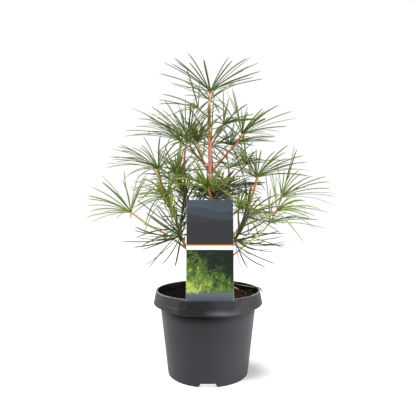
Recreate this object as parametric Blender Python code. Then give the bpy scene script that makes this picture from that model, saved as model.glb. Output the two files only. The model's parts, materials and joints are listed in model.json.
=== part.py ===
"""A young umbrella pine in a round nursery pot, with its soil and a card label.

Units are metres, +Z is up and the label stands at the front, towards -Y. The origin is
on the floor, under the middle of the pot. The plant is a trunk with side shoots. Each
shoot ends in a bud with a whorl of long needles under it, and some shoots carry an
older whorl lower down. The plant's own tables are in millimetres.
"""

import math
import random
from dataclasses import dataclass

import bmesh
import bpy
import numpy as np
from mathutils import Matrix, Vector

GAP = 0.0003  # clearance between pieces that touch
MM = 0.001
SEED = 20

# Pot: a turned container with a flared collar, a raised floor and a notched foot.
POT_HEIGHT = 0.143
RIM_RADIUS = 0.0909
RIM_WIDTH = 0.0027
BEAD_RADIUS = 0.0950
BEAD_HEIGHT = 0.1222
BEAD_ROUND = 0.0027
BAND_RADIUS = 0.0917
BAND_FOOT = 0.1330
NECK_RADIUS = 0.0835
NECK_HEIGHT = 0.1190
FOOT_RADIUS = 0.0683
FOOT_CHAMFER = 0.0010
FOOT_WIDTH = 0.0030
RIM_EASE = 0.0005
WALL = 0.0016
FLOOR_UNDERSIDE = 0.0066
FLOOR_TOP = 0.0084
LEDGE_HEIGHT = 0.1235
POT_SEGMENTS = 56
CURL_STEPS = 5
NOTCH_COUNT = 4
NOTCH_WIDTH = 0.0280
NOTCH_HEIGHT = 0.0062
NOTCH_CORNER = 0.0020
DRAIN_COUNT = 8
DRAIN_RADIUS = 0.0050
DRAIN_CIRCLE = 0.0500
TOOL_REACH = 0.0100  # how far a cutting tool runs past the wall it cuts

# Label: a flat card that leans back in a slot, with a boss on the collar around it.
LABEL_WIDTH = 0.0735
LABEL_CENTRE = 0.0030
LABEL_ABOVE = 0.1550
LABEL_BELOW = 0.0200
LABEL_THICKNESS = 0.0008
LABEL_CORNER = 0.0020
LABEL_LEAN = math.radians(7.3)
SLOT_MOUTH_Y = -0.0925
SLOT_PLAY = 0.0004
BOSS_HALF_WIDTH = 0.0388
BOSS_COLUMNS = 6
BOSS_FRONT = ((-0.0948, 0.1427), (-0.0974, 0.1250), (-0.0966, 0.1206))  # y and height down the front
BOSS_BACK = ((0.0893, 0.1206), (0.0893, 0.1427))  # radius and height up the back

# Soil: fills the pot to a little below the rim.
SOIL_LEVEL = 0.1315
SOIL_ROUGHNESS = 0.0009
SOIL_SEGMENTS = 36
SOIL_RINGS = (0.072, 0.054, 0.036, 0.018)
ROOT_DEPTH = 0.0450
ROOT_SOCKET = 0.0050

# Stems: tapered tubes that end in a bud and sit on their parent with a small gap.
CURVE_STEPS = 2
COPE_GAP = 0.0005
BUD_LENGTH = 0.0070
BUD_SHOULDER = 0.45  # where the bud starts to close, as a share of its length
BUD_SHOULDER_RADIUS = 0.9
BUD_TIP_RADIUS = 0.1

# Needles: flat tapered blades that grow out of a ring around the stem.
NEEDLE_HALF_WIDTH = 0.0009
NEEDLE_HALF_THICKNESS = 0.0006
NEEDLE_FOOT = 0.0026
NEEDLE_START = 0.04  # where a needle leaves the hub, as a share of its length
LOWEST_NEEDLE = 0.1500
RING_HALF_HEIGHT = 0.0016
RING_DEPTH = 0.0021
RING_SEGMENTS = 10
RING_SIDES_PER_NEEDLE = 0.75
SEAT_GAIN = 1e-9  # the least gain for which two needles change places on the ring
SEAT_POWERS = (1, 2, 3, 5)
PROBE = 2e-6  # how far from a triangle its two sides are probed
STEM_CHECK_FROM = 0.08  # where the check against the needle's own stem starts, as a share of its lower half

# The fans: by how much a named tip may shift to find room, and how far back it may bend.
FAN_TRIES = 60
FAN_SLACK = 0.0015
FAN_LEAST_DEPTH = 0.0040
FAN_FLIP = 6
FAN_BACKWARD = -0.55
# Tips in front are held in towards this height on the pot's axis and tips behind spread out.
SPREAD_HEIGHT = 0.2845
SPREAD_DISTANCE = 0.7000

# The filling needles: tries, angle to the shoot and share of the full length.
FILL_TRIES = 60
FILL_SWING = 0.2
FILL_ANGLES = (38, 88)
FILL_LENGTHS = (0.82, 1.0)

# Room that a needle keeps from hubs, stems, the card and other needles.
HUB_ROOM = 0.0100
OWN_HUB = 0.0120
WAY_STEPS = 24
SCREEN = 0.0012
NEEDLE_SPACING = 0.0004


@dataclass(frozen=True)
class Finish:
    """Colour and surface of one kind of piece."""

    colour: tuple
    roughness: float


PLASTIC = Finish((0.050, 0.055, 0.060), 0.42)
CARD = Finish((0.060, 0.085, 0.070), 0.35)
EARTH = Finish((0.030, 0.020, 0.015), 0.95)
BARK = Finish((0.470, 0.190, 0.105), 0.75)
RED_BARK = Finish((0.330, 0.085, 0.045), 0.70)
ORANGE_BARK = Finish((0.560, 0.230, 0.060), 0.65)
GREEN_SHOOT = Finish((0.300, 0.360, 0.050), 0.55)
LEAF = Finish((0.095, 0.165, 0.035), 0.45)
DARK_LEAF = Finish((0.035, 0.065, 0.022), 0.50)
BRIGHT_LEAF = Finish((0.120, 0.260, 0.030), 0.42)
STRAW = Finish((0.620, 0.540, 0.380), 0.80)


@dataclass(frozen=True)
class Stem:
    """One woody shoot: the places it passes through, in mm, and its radius at both ends."""

    name: str
    parent: str
    route: tuple
    radii: tuple
    finish: Finish
    sides: int = 6


@dataclass(frozen=True)
class Whorl:
    """One ring of needles on a stem.

    fan gives needle tips as (right, up) from the hub in mm. The needle's length then
    sets how far it reaches forwards or back, by turns. total counts the needles, with
    the rest spread where the fan leaves most room. height picks the place on the stem,
    whose end is meant when it is None. arch lifts the middle of each needle.
    """

    name: str
    stem: str
    length: float
    total: int
    fan: tuple
    arch: float = 0.05
    height: float = None
    finish: Finish = LEAF


TRUNK = Stem("trunk", None, (
    (0, 0, 87), (0, 0, 131), (2, 0, 180), (6, 0, 250), (9, 0, 309), (4, 0, 345), (3, 0, 405), (2, 0, 458),
    (4, 0, 491)), (4.2, 2.5), BARK, 8)

STEMS = (
    TRUNK,
    Stem("left_limb", "trunk", (
        (1, 0, 168), (-24, -8, 194), (-42, -16, 226), (-50, -22, 250), (-61, -28, 285), (-70, -30, 305),
        (-80, -28, 330), (-85, -25, 352)), (3.0, 2.0), ORANGE_BARK),
    Stem("right_limb", "trunk", (
        (1, 0, 158), (26, -6, 190), (47, -10, 230), (58, -10, 255), (66, -11, 278), (77, -13, 308),
        (85, -15, 338)), (2.9, 2.0), ORANGE_BARK),
    Stem("left_upper_stem", "trunk", (
        (2, 0, 200), (-22, 3, 235), (-38, 6, 282), (-42, 8, 337), (-42, 10, 380), (-38, 12, 403)),
        (2.4, 1.8), RED_BARK),
    Stem("left_green_stem", "left_upper_stem", (
        (-40, 7, 300), (-47, -14, 325), (-51, -24, 344), (-49, -24, 370), (-46, -20, 401)),
        (2.0, 2.1), GREEN_SHOOT),
    Stem("left_inner_stem", "trunk", (
        (4, 0, 350), (-16, 16, 375), (-30, 30, 394), (-35, 40, 408)), (1.9, 1.6), RED_BARK),
    Stem("inner_stem", "trunk", (
        (4, 0, 341), (-8, -6, 366), (-15, -12, 388), (-17, -15, 399)), (2.1, 1.8), BARK),
    Stem("right_upper_stem", "trunk", (
        (4, 0, 346), (20, -5, 364), (37, -9, 384), (50, -11, 398), (60, -10, 414)), (1.8, 1.8), RED_BARK),
    Stem("right_inner_stem", "trunk", (
        (3, 0, 390), (20, 12, 403), (33, 18, 402), (40, 20, 401)), (1.5, 1.5), RED_BARK),
    Stem("upper_right_stem", "trunk", (
        (3, 0, 402), (10, -6, 411), (19, -13, 421), (27, -20, 428)), (1.6, 1.6), ORANGE_BARK),
    Stem("crown_twig", "trunk", (
        (2, 0, 446), (-6, -5, 450), (-12, -10, 454), (-17, -15, 458)), (1.2, 1.3), RED_BARK),
    Stem("left_low_stem", "left_limb", (
        (-36, -14, 214), (-56, -8, 228), (-75, -2, 240), (-104, 4, 254), (-138, 8, 278)),
        (1.9, 1.6), GREEN_SHOOT),
    Stem("front_stem", "trunk", (
        (8, 0, 285), (6, -22, 300), (2, -47, 311), (0, -66, 319)), (1.9, 1.8), ORANGE_BARK),
    Stem("right_far_back_stem", "right_limb", (
        (62, -10, 266), (77, -4, 277), (92, -6, 284), (110, -12, 292), (127, -16, 304)), (1.7, 1.6), GREEN_SHOOT),
    Stem("right_far_stem", "right_limb", (
        (57, -10, 252), (74, -28, 261), (91, -42, 268), (103, -50, 275), (113, -54, 281)), (1.7, 1.6), GREEN_SHOOT),
    Stem("right_low_stem", "right_limb", (
        (18, -4, 180), (45, -20, 206), (67, -20, 224), (86, -16, 238), (100, -12, 250), (107, -10, 259)),
        (1.5, 1.4), GREEN_SHOOT),
    Stem("front_right_stem", "trunk", (
        (6, 0, 246), (26, -14, 262), (44, -22, 275), (53, -26, 284)), (1.9, 1.6), ORANGE_BARK),
    Stem("back_right_stem", "trunk", (
        (5, 0, 232), (24, 24, 268), (36, 40, 300), (40, 45, 325), (39, 46, 360)), (2.2, 1.9), BARK),
    Stem("right_inner_twig", "back_right_stem", (
        (40, 45, 337), (52, 32, 349), (62, 20, 357), (69, 11, 364)), (1.2, 1.3), RED_BARK),
    Stem("back_upper_stem", "trunk", (
        (8, 0, 322), (8, 26, 350), (7, 50, 378), (6, 65, 406)), (1.9, 1.7), RED_BARK),
    Stem("back_left_stem", "trunk", (
        (3, 0, 226), (-16, 30, 252), (-32, 50, 280), (-48, 58, 308), (-60, 62, 334)), (2.2, 1.8), ORANGE_BARK),
    Stem("back_stem", "trunk", (
        (5, 0, 240), (9, 32, 256), (13, 54, 276), (16, 66, 304)), (2.0, 1.8), BARK),
    Stem("back_low_stem", "trunk", (
        (2, 0, 185), (24, 24, 210), (50, 48, 236), (72, 64, 268)), (2.1, 1.7), GREEN_SHOOT),
)

WHORLS = (
    Whorl("top_whorl", "trunk", 96, 21, (
        (-40, 68), (-38, 51), (-64, 59), (-68, 49), (-82, 51), (-90, 31), (-70, 15), (-11, 56), (34, 61),
        (40, 54), (66, 59), (73, 61), (67, 44), (85, 50), (89, 36), (77, 25), (93, 22), (10, -14)), 0.035),
    Whorl("crown_lower_whorl", "trunk", 78, 13, (
        (-48, 36), (-65, 27), (-43, 8), (-17, 26), (63, 32), (28, 22), (34, -26), (18, -24), (-23, -29),
        (-33, -34)), 0.04, 467, DARK_LEAF),
    Whorl("crown_side_whorl", "crown_twig", 74, 9, (
        (-62, 24), (-69, 15), (-69, 6), (3, 22), (-6, -14)), 0.05),
    Whorl("upper_right_whorl", "upper_right_stem", 66, 13, (
        (9, 45), (-9, 16), (9, 13), (22, 13), (-20, 4), (31, 5), (-16, -14), (20, -12)), 0.05),
    Whorl("right_upper_whorl", "right_upper_stem", 98, 18, (
        (-22, 64), (-23, 37), (10, 39), (34, 45), (39, 40), (48, 44), (65, 50), (86, 40), (93, 27), (77, 13),
        (66, 4), (40, 26), (56, -4)), 0.04),
    Whorl("right_inner_whorl", "right_inner_stem", 84, 18, (
        (-14, 26), (-23, 15), (-32, 4), (3, 22), (14, 25), (32, -17), (83, 5), (70, 8), (64, 15), (36, 13),
        (-30, -2), (-14, -19), (-26, -24)), 0.05, None, DARK_LEAF),
    Whorl("left_upper_whorl", "left_green_stem", 100, 18, (
        (-85, 56), (-70, 49), (-58, 47), (-51, 46), (-45, 48), (-27, 41), (-96, 17), (-78, 24), (-97, 7),
        (-84, 9), (-65, 26), (-38, -20), (-29, -34)), 0.07),
    Whorl("left_upper_back_whorl", "left_upper_stem", 88, 15, (
        (-48, 61), (-31, 68), (-17, 72), (-11, 60), (-2, 79), (9, 62), (-26, 44)), 0.06),
    Whorl("left_inner_whorl", "left_inner_stem", 88, 15, (
        (-70, 66), (-52, 34), (12, 52), (20, 36), (-30, 50)), 0.06),
    Whorl("inner_whorl", "inner_stem", 74, 16, (
        (6, 39), (9, 30), (-6, 37), (13, 46), (-14, 32), (-22, 27), (-19, 35), (15, 16), (26, 10), (22, 20)), 0.05),
    Whorl("left_mid_whorl", "left_limb", 92, 22, (
        (-26, 55), (-77, 33), (-71, 38), (-64, 41), (-46, 36), (-33, 36), (-82, 20), (-78, 15), (-70, 12),
        (-88, 8), (-88, 2), (-49, -9), (-34, -16), (5, 57), (10, 31), (21, 30), (32, -6), (24, -21)), 0.07),
    Whorl("right_mid_whorl", "right_limb", 94, 20, (
        (-16, 42), (-8, 48), (-3, 50), (8, 47), (31, 45), (37, 38), (34, 30), (80, 38), (56, 32), (86, 26),
        (90, 12), (90, 2), (48, 44), (-28, 12)), 0.07),
    Whorl("left_low_whorl", "left_low_stem", 84, 20, (
        (-52, 65), (-51, 54), (-69, 45), (-76, 29), (-75, 23), (-78, 10), (-73, 1), (-76, -6), (-70, -18),
        (-25, -11), (-12, 75), (-14, 57), (15, 69), (27, 67), (0, -13), (-39, 43), (9, 27)), 0.06, None, BRIGHT_LEAF),
    Whorl("left_lower_whorl", "left_limb", 72, 20, (
        (-23, 22), (-38, 31), (-46, 16), (-62, 15), (-60, 9), (-46, 6), (-63, -3), (-21, -18), (-3, -20),
        (28, -38), (26, -22), (8, 22), (15, 28), (24, 19)), 0.06, 302, BRIGHT_LEAF),
    Whorl("front_whorl", "front_stem", 92, 19, (
        (-13, 23), (6, 4), (-3, 26), (-35, -4), (-52, -12), (-32, -14), (8, 24), (23, 19), (27, 24), (48, 11),
        (34, -13), (52, -6)), 0.08, None, BRIGHT_LEAF),
    Whorl("left_inner_low_whorl", "left_green_stem", 62, 13, (
        (-25, 19), (-8, 24), (4, 24), (19, 26), (-32, 11), (-17, 16), (24, 8)), 0.06, 344),
    Whorl("low_left_whorl", "left_limb", 104, 18, (
        (-102, -9), (-82, -20), (-79, 15), (-82, 9), (-79, -3), (-58, -2), (-67, -23), (-62, -51), (-39, 50),
        (-51, 36), (-36, -50), (-12, -54)), -0.05, 232, DARK_LEAF),
    Whorl("right_inner_low_whorl", "right_inner_twig", 72, 14, (
        (-15, 14), (-19, 21), (-26, 9), (-40, -9), (6, -16), (15, -18), (-12, 29), (17, 23), (28, 9)), 0.06),
    Whorl("right_far_back_whorl", "right_far_back_stem", 96, 18, (
        (-10, 59), (3, 48), (29, 48), (34, 41), (54, 36), (76, 36), (34, 24), (42, 17), (85, 25), (84, 15),
        (91, 6), (92, 1), (-12, 34), (-9, -2)), 0.06),
    Whorl("right_far_whorl", "right_far_stem", 86, 17, (
        (34, 21), (41, 17), (46, 15), (45, 7), (70, 2), (82, -3), (62, -10), (54, -13), (30, 28), (9, 27),
        (48, -5)), 0.07, None, BRIGHT_LEAF),
    Whorl("right_low_whorl", "right_low_stem", 98, 16, (
        (1, 61), (5, 40), (63, 14), (72, 7), (96, -9), (37, 7), (36, 17), (23, 2), (40, -3), (-30, -9)), 0.06),
    Whorl("front_right_whorl", "front_right_stem", 70, 14, (
        (-9, 17), (-4, 25), (-1, 31), (6, 31), (11, 32), (17, 26), (36, 20), (40, 4)), 0.05, None, BRIGHT_LEAF),
    Whorl("low_right_whorl", "right_limb", 92, 18, (
        (76, 16), (81, 7), (78, -4), (90, -2), (88, -9), (67, -20), (52, -1), (59, -16), (31, -28), (24, -50),
        (12, -53), (45, 19)), -0.06, 231, DARK_LEAF),
    Whorl("back_right_low_whorl", "back_right_stem", 80, 14, (
        (42, 9), (48, 2), (63, 6), (63, -6), (70, 8), (38, -17), (-25, 2)), 0.05, 324, DARK_LEAF),
    Whorl("back_right_whorl", "back_right_stem", 76, 14, (
        (23, 6), (17, 19), (-23, -11), (-26, 17)), 0.05),
    Whorl("trunk_whorl", "trunk", 72, 14, (
        (46, 2), (33, -5), (48, -2), (-26, 16), (-40, -6), (22, 18)), 0.03, 311, DARK_LEAF),
    Whorl("back_upper_whorl", "back_upper_stem", 88, 16, ((30, 40), (-24, 46), (60, 24), (-56, 30)), 0.06),
    Whorl("back_left_whorl", "back_left_stem", 90, 17, ((-52, 40), (-66, 16), (24, 44)), 0.07),
    Whorl("back_left_low_whorl", "back_left_stem", 80, 14, ((-58, -14), (-60, 4)), 0.0, 268, DARK_LEAF),
    Whorl("back_whorl", "back_stem", 92, 17, ((44, 40), (-40, 44)), 0.07),
    Whorl("back_low_whorl", "back_low_stem", 90, 17, ((64, 6), (58, 26), (36, -24)), 0.06, None, DARK_LEAF),
)

DRY_NEEDLE = (
    (52, 66, 139.8), (62, 57, 138.8), (71, 47, 139.0), (80, 29, 140.8), (86, 6, 145.0), (90.5, -3, 145.5),
    (95.5, -9, 138.5))
DRY_NEEDLE_RADIUS = 0.7
FALLEN_TWIG = ((50, 60, 133.8), (54, 47, 134.3), (58, 33, 133.9))
FALLEN_TWIG_RADIUS = 0.9
LITTER_SIDES = 6


def clear_scene():
    """Take everything out of the open scene."""
    for obj in list(bpy.data.objects):
        bpy.data.objects.remove(obj, do_unlink=True)


def material(name, finish):
    """Return a Principled material of one colour and roughness."""
    new = bpy.data.materials.new(name)
    new.use_nodes = True
    shader = new.node_tree.nodes["Principled BSDF"]
    shader.inputs["Base Color"].default_value = (*finish.colour, 1.0)
    shader.inputs["Roughness"].default_value = finish.roughness
    shader.inputs["Metallic"].default_value = 0.0
    new.diffuse_color = (*finish.colour, 1.0)
    return new


def solid(name, bm, finish, place=None):
    """Close a bmesh into a named object with its own material, and put it in its place."""
    bmesh.ops.remove_doubles(bm, verts=bm.verts, dist=1e-7)
    bmesh.ops.recalc_face_normals(bm, faces=bm.faces)
    mesh = bpy.data.meshes.new(name)
    bm.to_mesh(mesh)
    bm.free()
    obj = bpy.data.objects.new(name, mesh)
    bpy.context.scene.collection.objects.link(obj)
    mesh.materials.append(material(name, finish))
    if place is not None:
        obj.location, obj.rotation_euler = place.to_translation(), place.to_euler()
    return obj


def cutter(name, bm, place=None):
    """Make a hidden tool body for a Boolean."""
    obj = solid(name, bm, PLASTIC, place)
    obj.hide_render = True
    obj.display_type = "WIRE"
    return obj


def combine(obj, tool, operation):
    """Add a Boolean of one tool body to an object."""
    modifier = obj.modifiers.new(tool.name, "BOOLEAN")
    modifier.operation = operation
    modifier.solver = "EXACT"
    modifier.object = tool


def turned(profile, segments):
    """Turn (radius, height) points, which start and end on the axis, into a closed body."""
    bm = bmesh.new()
    verts = [bm.verts.new((radius, 0.0, height)) for radius, height in profile]
    edges = [bm.edges.new(pair) for pair in zip(verts, verts[1:])]
    bmesh.ops.spin(
        bm, geom=verts + edges, cent=(0, 0, 0), axis=(0, 0, 1), angle=math.tau, steps=segments, use_merge=True)
    bmesh.ops.remove_doubles(bm, verts=bm.verts, dist=1e-6)
    return bm


def block(low, high):
    """Return a box between two corners."""
    bm = bmesh.new()
    bmesh.ops.create_cube(bm, size=1.0)
    low, high = Vector(low), Vector(high)
    for vert in bm.verts:
        vert.co = Vector([low[i] if vert.co[i] < 0 else high[i] for i in range(3)])
    return bm


def label_frame():
    """Return the label's frame: X across, Z up the card, at the mouth of the slot."""
    return Matrix.Translation((LABEL_CENTRE, SLOT_MOUTH_Y, POT_HEIGHT)) @ Matrix.Rotation(-LABEL_LEAN, 4, "X")


def inside_profile(gap, top, floor):
    """Return the pot's inner wall as (radius, height) points, drawn in by a gap."""
    rim_inside = RIM_RADIUS - RIM_WIDTH - gap
    return [
        (0.0, floor),
        (FOOT_RADIUS - WALL - gap, floor),
        (NECK_RADIUS - WALL - gap, NECK_HEIGHT + WALL / 2 + gap),
        (rim_inside, LEDGE_HEIGHT + gap),
        (rim_inside, top),
    ]


def pot_profile():
    """Return the pot's whole section, from the underside round the rim to the floor."""
    curl = []
    for step in range(CURL_STEPS + 1):
        angle = -0.5 * math.pi * (1 - step / CURL_STEPS)
        curl.append((
            BEAD_RADIUS - BEAD_ROUND * (1 - math.cos(angle)), BEAD_HEIGHT + BEAD_ROUND * math.sin(angle)))
    under = [
        (0.0, FLOOR_UNDERSIDE), (FOOT_RADIUS - FOOT_WIDTH, FLOOR_UNDERSIDE), (FOOT_RADIUS - FOOT_WIDTH, 0.0),
        (FOOT_RADIUS - FOOT_CHAMFER, 0.0), (FOOT_RADIUS, FOOT_CHAMFER), (NECK_RADIUS, NECK_HEIGHT)]
    rim = [(BAND_RADIUS, BAND_FOOT), (RIM_RADIUS, POT_HEIGHT - RIM_EASE), (RIM_RADIUS - RIM_EASE, POT_HEIGHT)]
    inside = inside_profile(0.0, POT_HEIGHT, FLOOR_TOP)
    return under + curl + rim + inside[::-1]


def boss_mesh():
    """Return the label's boss, whose back follows the collar inside its wall."""
    bm = bmesh.new()
    rows = []
    for column in range(BOSS_COLUMNS + 1):
        x = LABEL_CENTRE + BOSS_HALF_WIDTH * (2 * column / BOSS_COLUMNS - 1)
        front = [(x, y, z) for y, z in BOSS_FRONT]
        back = [(x, -math.sqrt(radius ** 2 - x ** 2), z) for radius, z in BOSS_BACK]
        rows.append([bm.verts.new(place) for place in front + back])
    count = len(rows[0])
    for low, high in zip(rows, rows[1:]):
        for k in range(count):
            bm.faces.new((low[k], low[(k + 1) % count], high[(k + 1) % count], high[k]))
    bm.faces.new(rows[0])
    bm.faces.new(rows[-1])
    return bm


def make_pot():
    """Turn the pot, add the label's boss, then cut its slot, foot notches and drains."""
    pot = solid("pot", turned(pot_profile(), POT_SEGMENTS), PLASTIC)
    combine(pot, cutter("boss_tool", boss_mesh()), "UNION")

    reach = LABEL_WIDTH / 2 + SLOT_PLAY
    thick = LABEL_THICKNESS / 2 + SLOT_PLAY
    slot = block((-reach, -thick, -LABEL_BELOW - SLOT_PLAY), (reach, thick, TOOL_REACH))
    combine(pot, cutter("slot_tool", slot, label_frame()), "DIFFERENCE")

    for index in range(NOTCH_COUNT):
        notch = block(
            (-NOTCH_WIDTH / 2, -FOOT_RADIUS - TOOL_REACH, -TOOL_REACH),
            (NOTCH_WIDTH / 2, -FOOT_RADIUS + TOOL_REACH, NOTCH_HEIGHT))
        upper = [edge for edge in notch.edges if all(vert.co.z > 0 for vert in edge.verts)]
        along = [edge for edge in upper if abs(edge.verts[0].co.y - edge.verts[1].co.y) > WALL]
        bmesh.ops.bevel(notch, geom=along, offset=NOTCH_CORNER, segments=2, affect="EDGES", profile=0.5)
        turn = Matrix.Rotation(math.tau * index / NOTCH_COUNT, 4, "Z")
        combine(pot, cutter("notch_tool_%d" % (index + 1), notch, turn), "DIFFERENCE")

    for index in range(DRAIN_COUNT):
        angle = math.tau * (index + 0.5) / DRAIN_COUNT
        middle = Vector((DRAIN_CIRCLE * math.cos(angle), DRAIN_CIRCLE * math.sin(angle), FLOOR_TOP))
        drain = bmesh.new()
        bmesh.ops.create_cone(
            drain, cap_ends=True, segments=12, radius1=DRAIN_RADIUS, radius2=DRAIN_RADIUS, depth=TOOL_REACH)
        combine(pot, cutter("drain_tool_%d" % (index + 1), drain, Matrix.Translation(middle)), "DIFFERENCE")


def make_label():
    """Stand the card in its slot."""
    card = block(
        (-LABEL_WIDTH / 2, -LABEL_THICKNESS / 2, -LABEL_BELOW), (LABEL_WIDTH / 2, LABEL_THICKNESS / 2, LABEL_ABOVE))
    corners = [edge for edge in card.edges if abs(edge.verts[0].co.y - edge.verts[1].co.y) > LABEL_THICKNESS / 2]
    bmesh.ops.bevel(card, geom=corners, offset=LABEL_CORNER, segments=3, affect="EDGES", profile=0.5)
    solid("label", card, CARD, label_frame())


def make_soil(rng):
    """Fill the pot with soil, uneven on top, with a socket for the trunk's root end."""
    profile = inside_profile(GAP, SOIL_LEVEL, FLOOR_TOP + GAP)
    profile += [(radius, SOIL_LEVEL) for radius in SOIL_RINGS]
    socket_floor = SOIL_LEVEL - ROOT_DEPTH
    profile += [(ROOT_SOCKET, SOIL_LEVEL), (ROOT_SOCKET, socket_floor), (0.0, socket_floor)]
    bm = turned(profile, SOIL_SEGMENTS)
    for vert in bm.verts:
        if abs(vert.co.z - SOIL_LEVEL) < 1e-5:
            vert.co.z += rng.uniform(-SOIL_ROUGHNESS, SOIL_ROUGHNESS)
    solid("soil", bm, EARTH)


def smooth_route(route):
    """Return a Catmull-Rom curve through the points, as an array in metres."""
    points = [np.array(p, float) * MM for p in route]
    ends = [2 * points[0] - points[1]] + points + [2 * points[-1] - points[-2]]
    curve = []
    for a, b, c, d in zip(ends, ends[1:], ends[2:], ends[3:]):
        for step in range(CURVE_STEPS):
            t = step / CURVE_STEPS
            curve.append(0.5 * (2 * b + (c - a) * t + (2 * a - 5 * b + 4 * c - d) * t * t
                                + (3 * b - a - 3 * c + d) * t ** 3))
    curve.append(points[-1])
    return np.array(curve)


def frames(curve):
    """Return a tangent and two normals at each point, turned as little as can be."""
    tangents = np.gradient(curve, axis=0)
    tangents /= np.linalg.norm(tangents, axis=1)[:, None]
    side = np.cross(tangents[0], (0.0, 1.0, 0.0))
    if np.linalg.norm(side) < 0.1:
        side = np.cross(tangents[0], (1.0, 0.0, 0.0))
    result = []
    for tangent in tangents:
        side = side - tangent * np.dot(side, tangent)
        side /= np.linalg.norm(side)
        result.append((tangent, side, np.cross(tangent, side)))
    return result


def cope(point, direction, axis_point, axis, radius):
    """Slide a point along a direction until it is a radius away from an axis."""
    across = point - axis_point
    across -= axis * np.dot(across, axis)
    slide = direction - axis * np.dot(direction, axis)
    a = np.dot(slide, slide)
    b = 2 * np.dot(across, slide)
    c = np.dot(across, across) - radius ** 2
    return point + direction * ((-b + math.sqrt(max(b * b - 4 * a * c, 0.0))) / (2 * a))


def tube(name, curve, radii, sides, finish, saddle=None):
    """Sweep a tapered tube that ends in a point and may start fitted to its parent."""
    bm = bmesh.new()
    rings = []
    for place, radius, (_, side, up) in zip(curve, radii, frames(curve)):
        turns = [math.tau * k / sides for k in range(sides)]
        rings.append([place + radius * (side * math.cos(t) + up * math.sin(t)) for t in turns])
    start = curve[0]
    if saddle is not None:
        heading = curve[1] - curve[0]
        heading /= np.linalg.norm(heading)
        rings[0] = [cope(point, heading, *saddle) for point in rings[0]]
        start = cope(curve[0], heading, *saddle)
    origin = curve[0]
    loops = [[bm.verts.new(point - origin) for point in ring] for ring in rings[:-1]]
    tail = bm.verts.new(start - origin)
    tip = bm.verts.new(curve[-1] - origin)
    for k in range(sides):
        n = (k + 1) % sides
        bm.faces.new((tail, loops[0][n], loops[0][k]))
        bm.faces.new((tip, loops[-1][k], loops[-1][n]))
        for low, high in zip(loops, loops[1:]):
            bm.faces.new((low[k], low[n], high[n], high[k]))
    solid(name, bm, finish, Matrix.Translation(origin))


class Grown:
    """One stem as it has grown: its curve, the radius along it and the saddle it sits on."""

    def __init__(self, spec, parent):
        """Lay the stem's curve, start it on its parent and add the bud."""
        curve = smooth_route(spec.route)
        self.saddle = None
        if parent is not None:
            place, axis, radius = parent.joint(curve[0])
            curve[0] = place
            self.saddle = (place, axis, radius + COPE_GAP)
            curve = self.leave_parent(curve, spec.radii[0] * MM)
        first, last = (radius * MM for radius in spec.radii)
        along = np.linspace(0.0, 1.0, len(curve))
        self.hub_index = len(curve) - 1
        heading = curve[-1] - curve[-2]
        heading /= np.linalg.norm(heading)
        bud = [curve[-1] + heading * BUD_LENGTH * part for part in (BUD_SHOULDER, 1.0)]
        self.curve = np.vstack([curve, bud])
        closing = [last * BUD_SHOULDER_RADIUS, last * BUD_TIP_RADIUS]
        self.radii = np.append(first + (last - first) * along, closing)

    def leave_parent(self, curve, radius):
        """Return the curve without the points that the parent or the joint swallows."""
        centre, axis, reach = self.saddle
        offset = curve - centre
        offset -= np.outer(offset @ axis, axis)
        outside = np.linalg.norm(offset, axis=1) > reach + radius + COPE_GAP
        outside[0] = True
        return curve[outside]

    def joint(self, point):
        """Return the place on the stem's middle line nearest to a point, its direction and radius."""
        starts, ends, radii = self.segments()
        span = ends - starts
        along = np.clip(((point - starts) * span).sum(axis=1) / (span ** 2).sum(axis=1), 0.0, 1.0)
        places = starts + along[:, None] * span
        index = int(np.argmin(np.linalg.norm(places - point, axis=1)))
        return places[index], span[index] / np.linalg.norm(span[index]), radii[index]

    def at_height(self, height):
        """Return the index of the curve point nearest to a height in mm."""
        return int(np.argmin(np.abs(self.curve[:, 2] - height * MM)))

    def segments(self):
        """Return the stem's straight stretches as start points, end points and radii."""
        return self.curve[:-1], self.curve[1:], np.maximum(self.radii[:-1], self.radii[1:])


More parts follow.
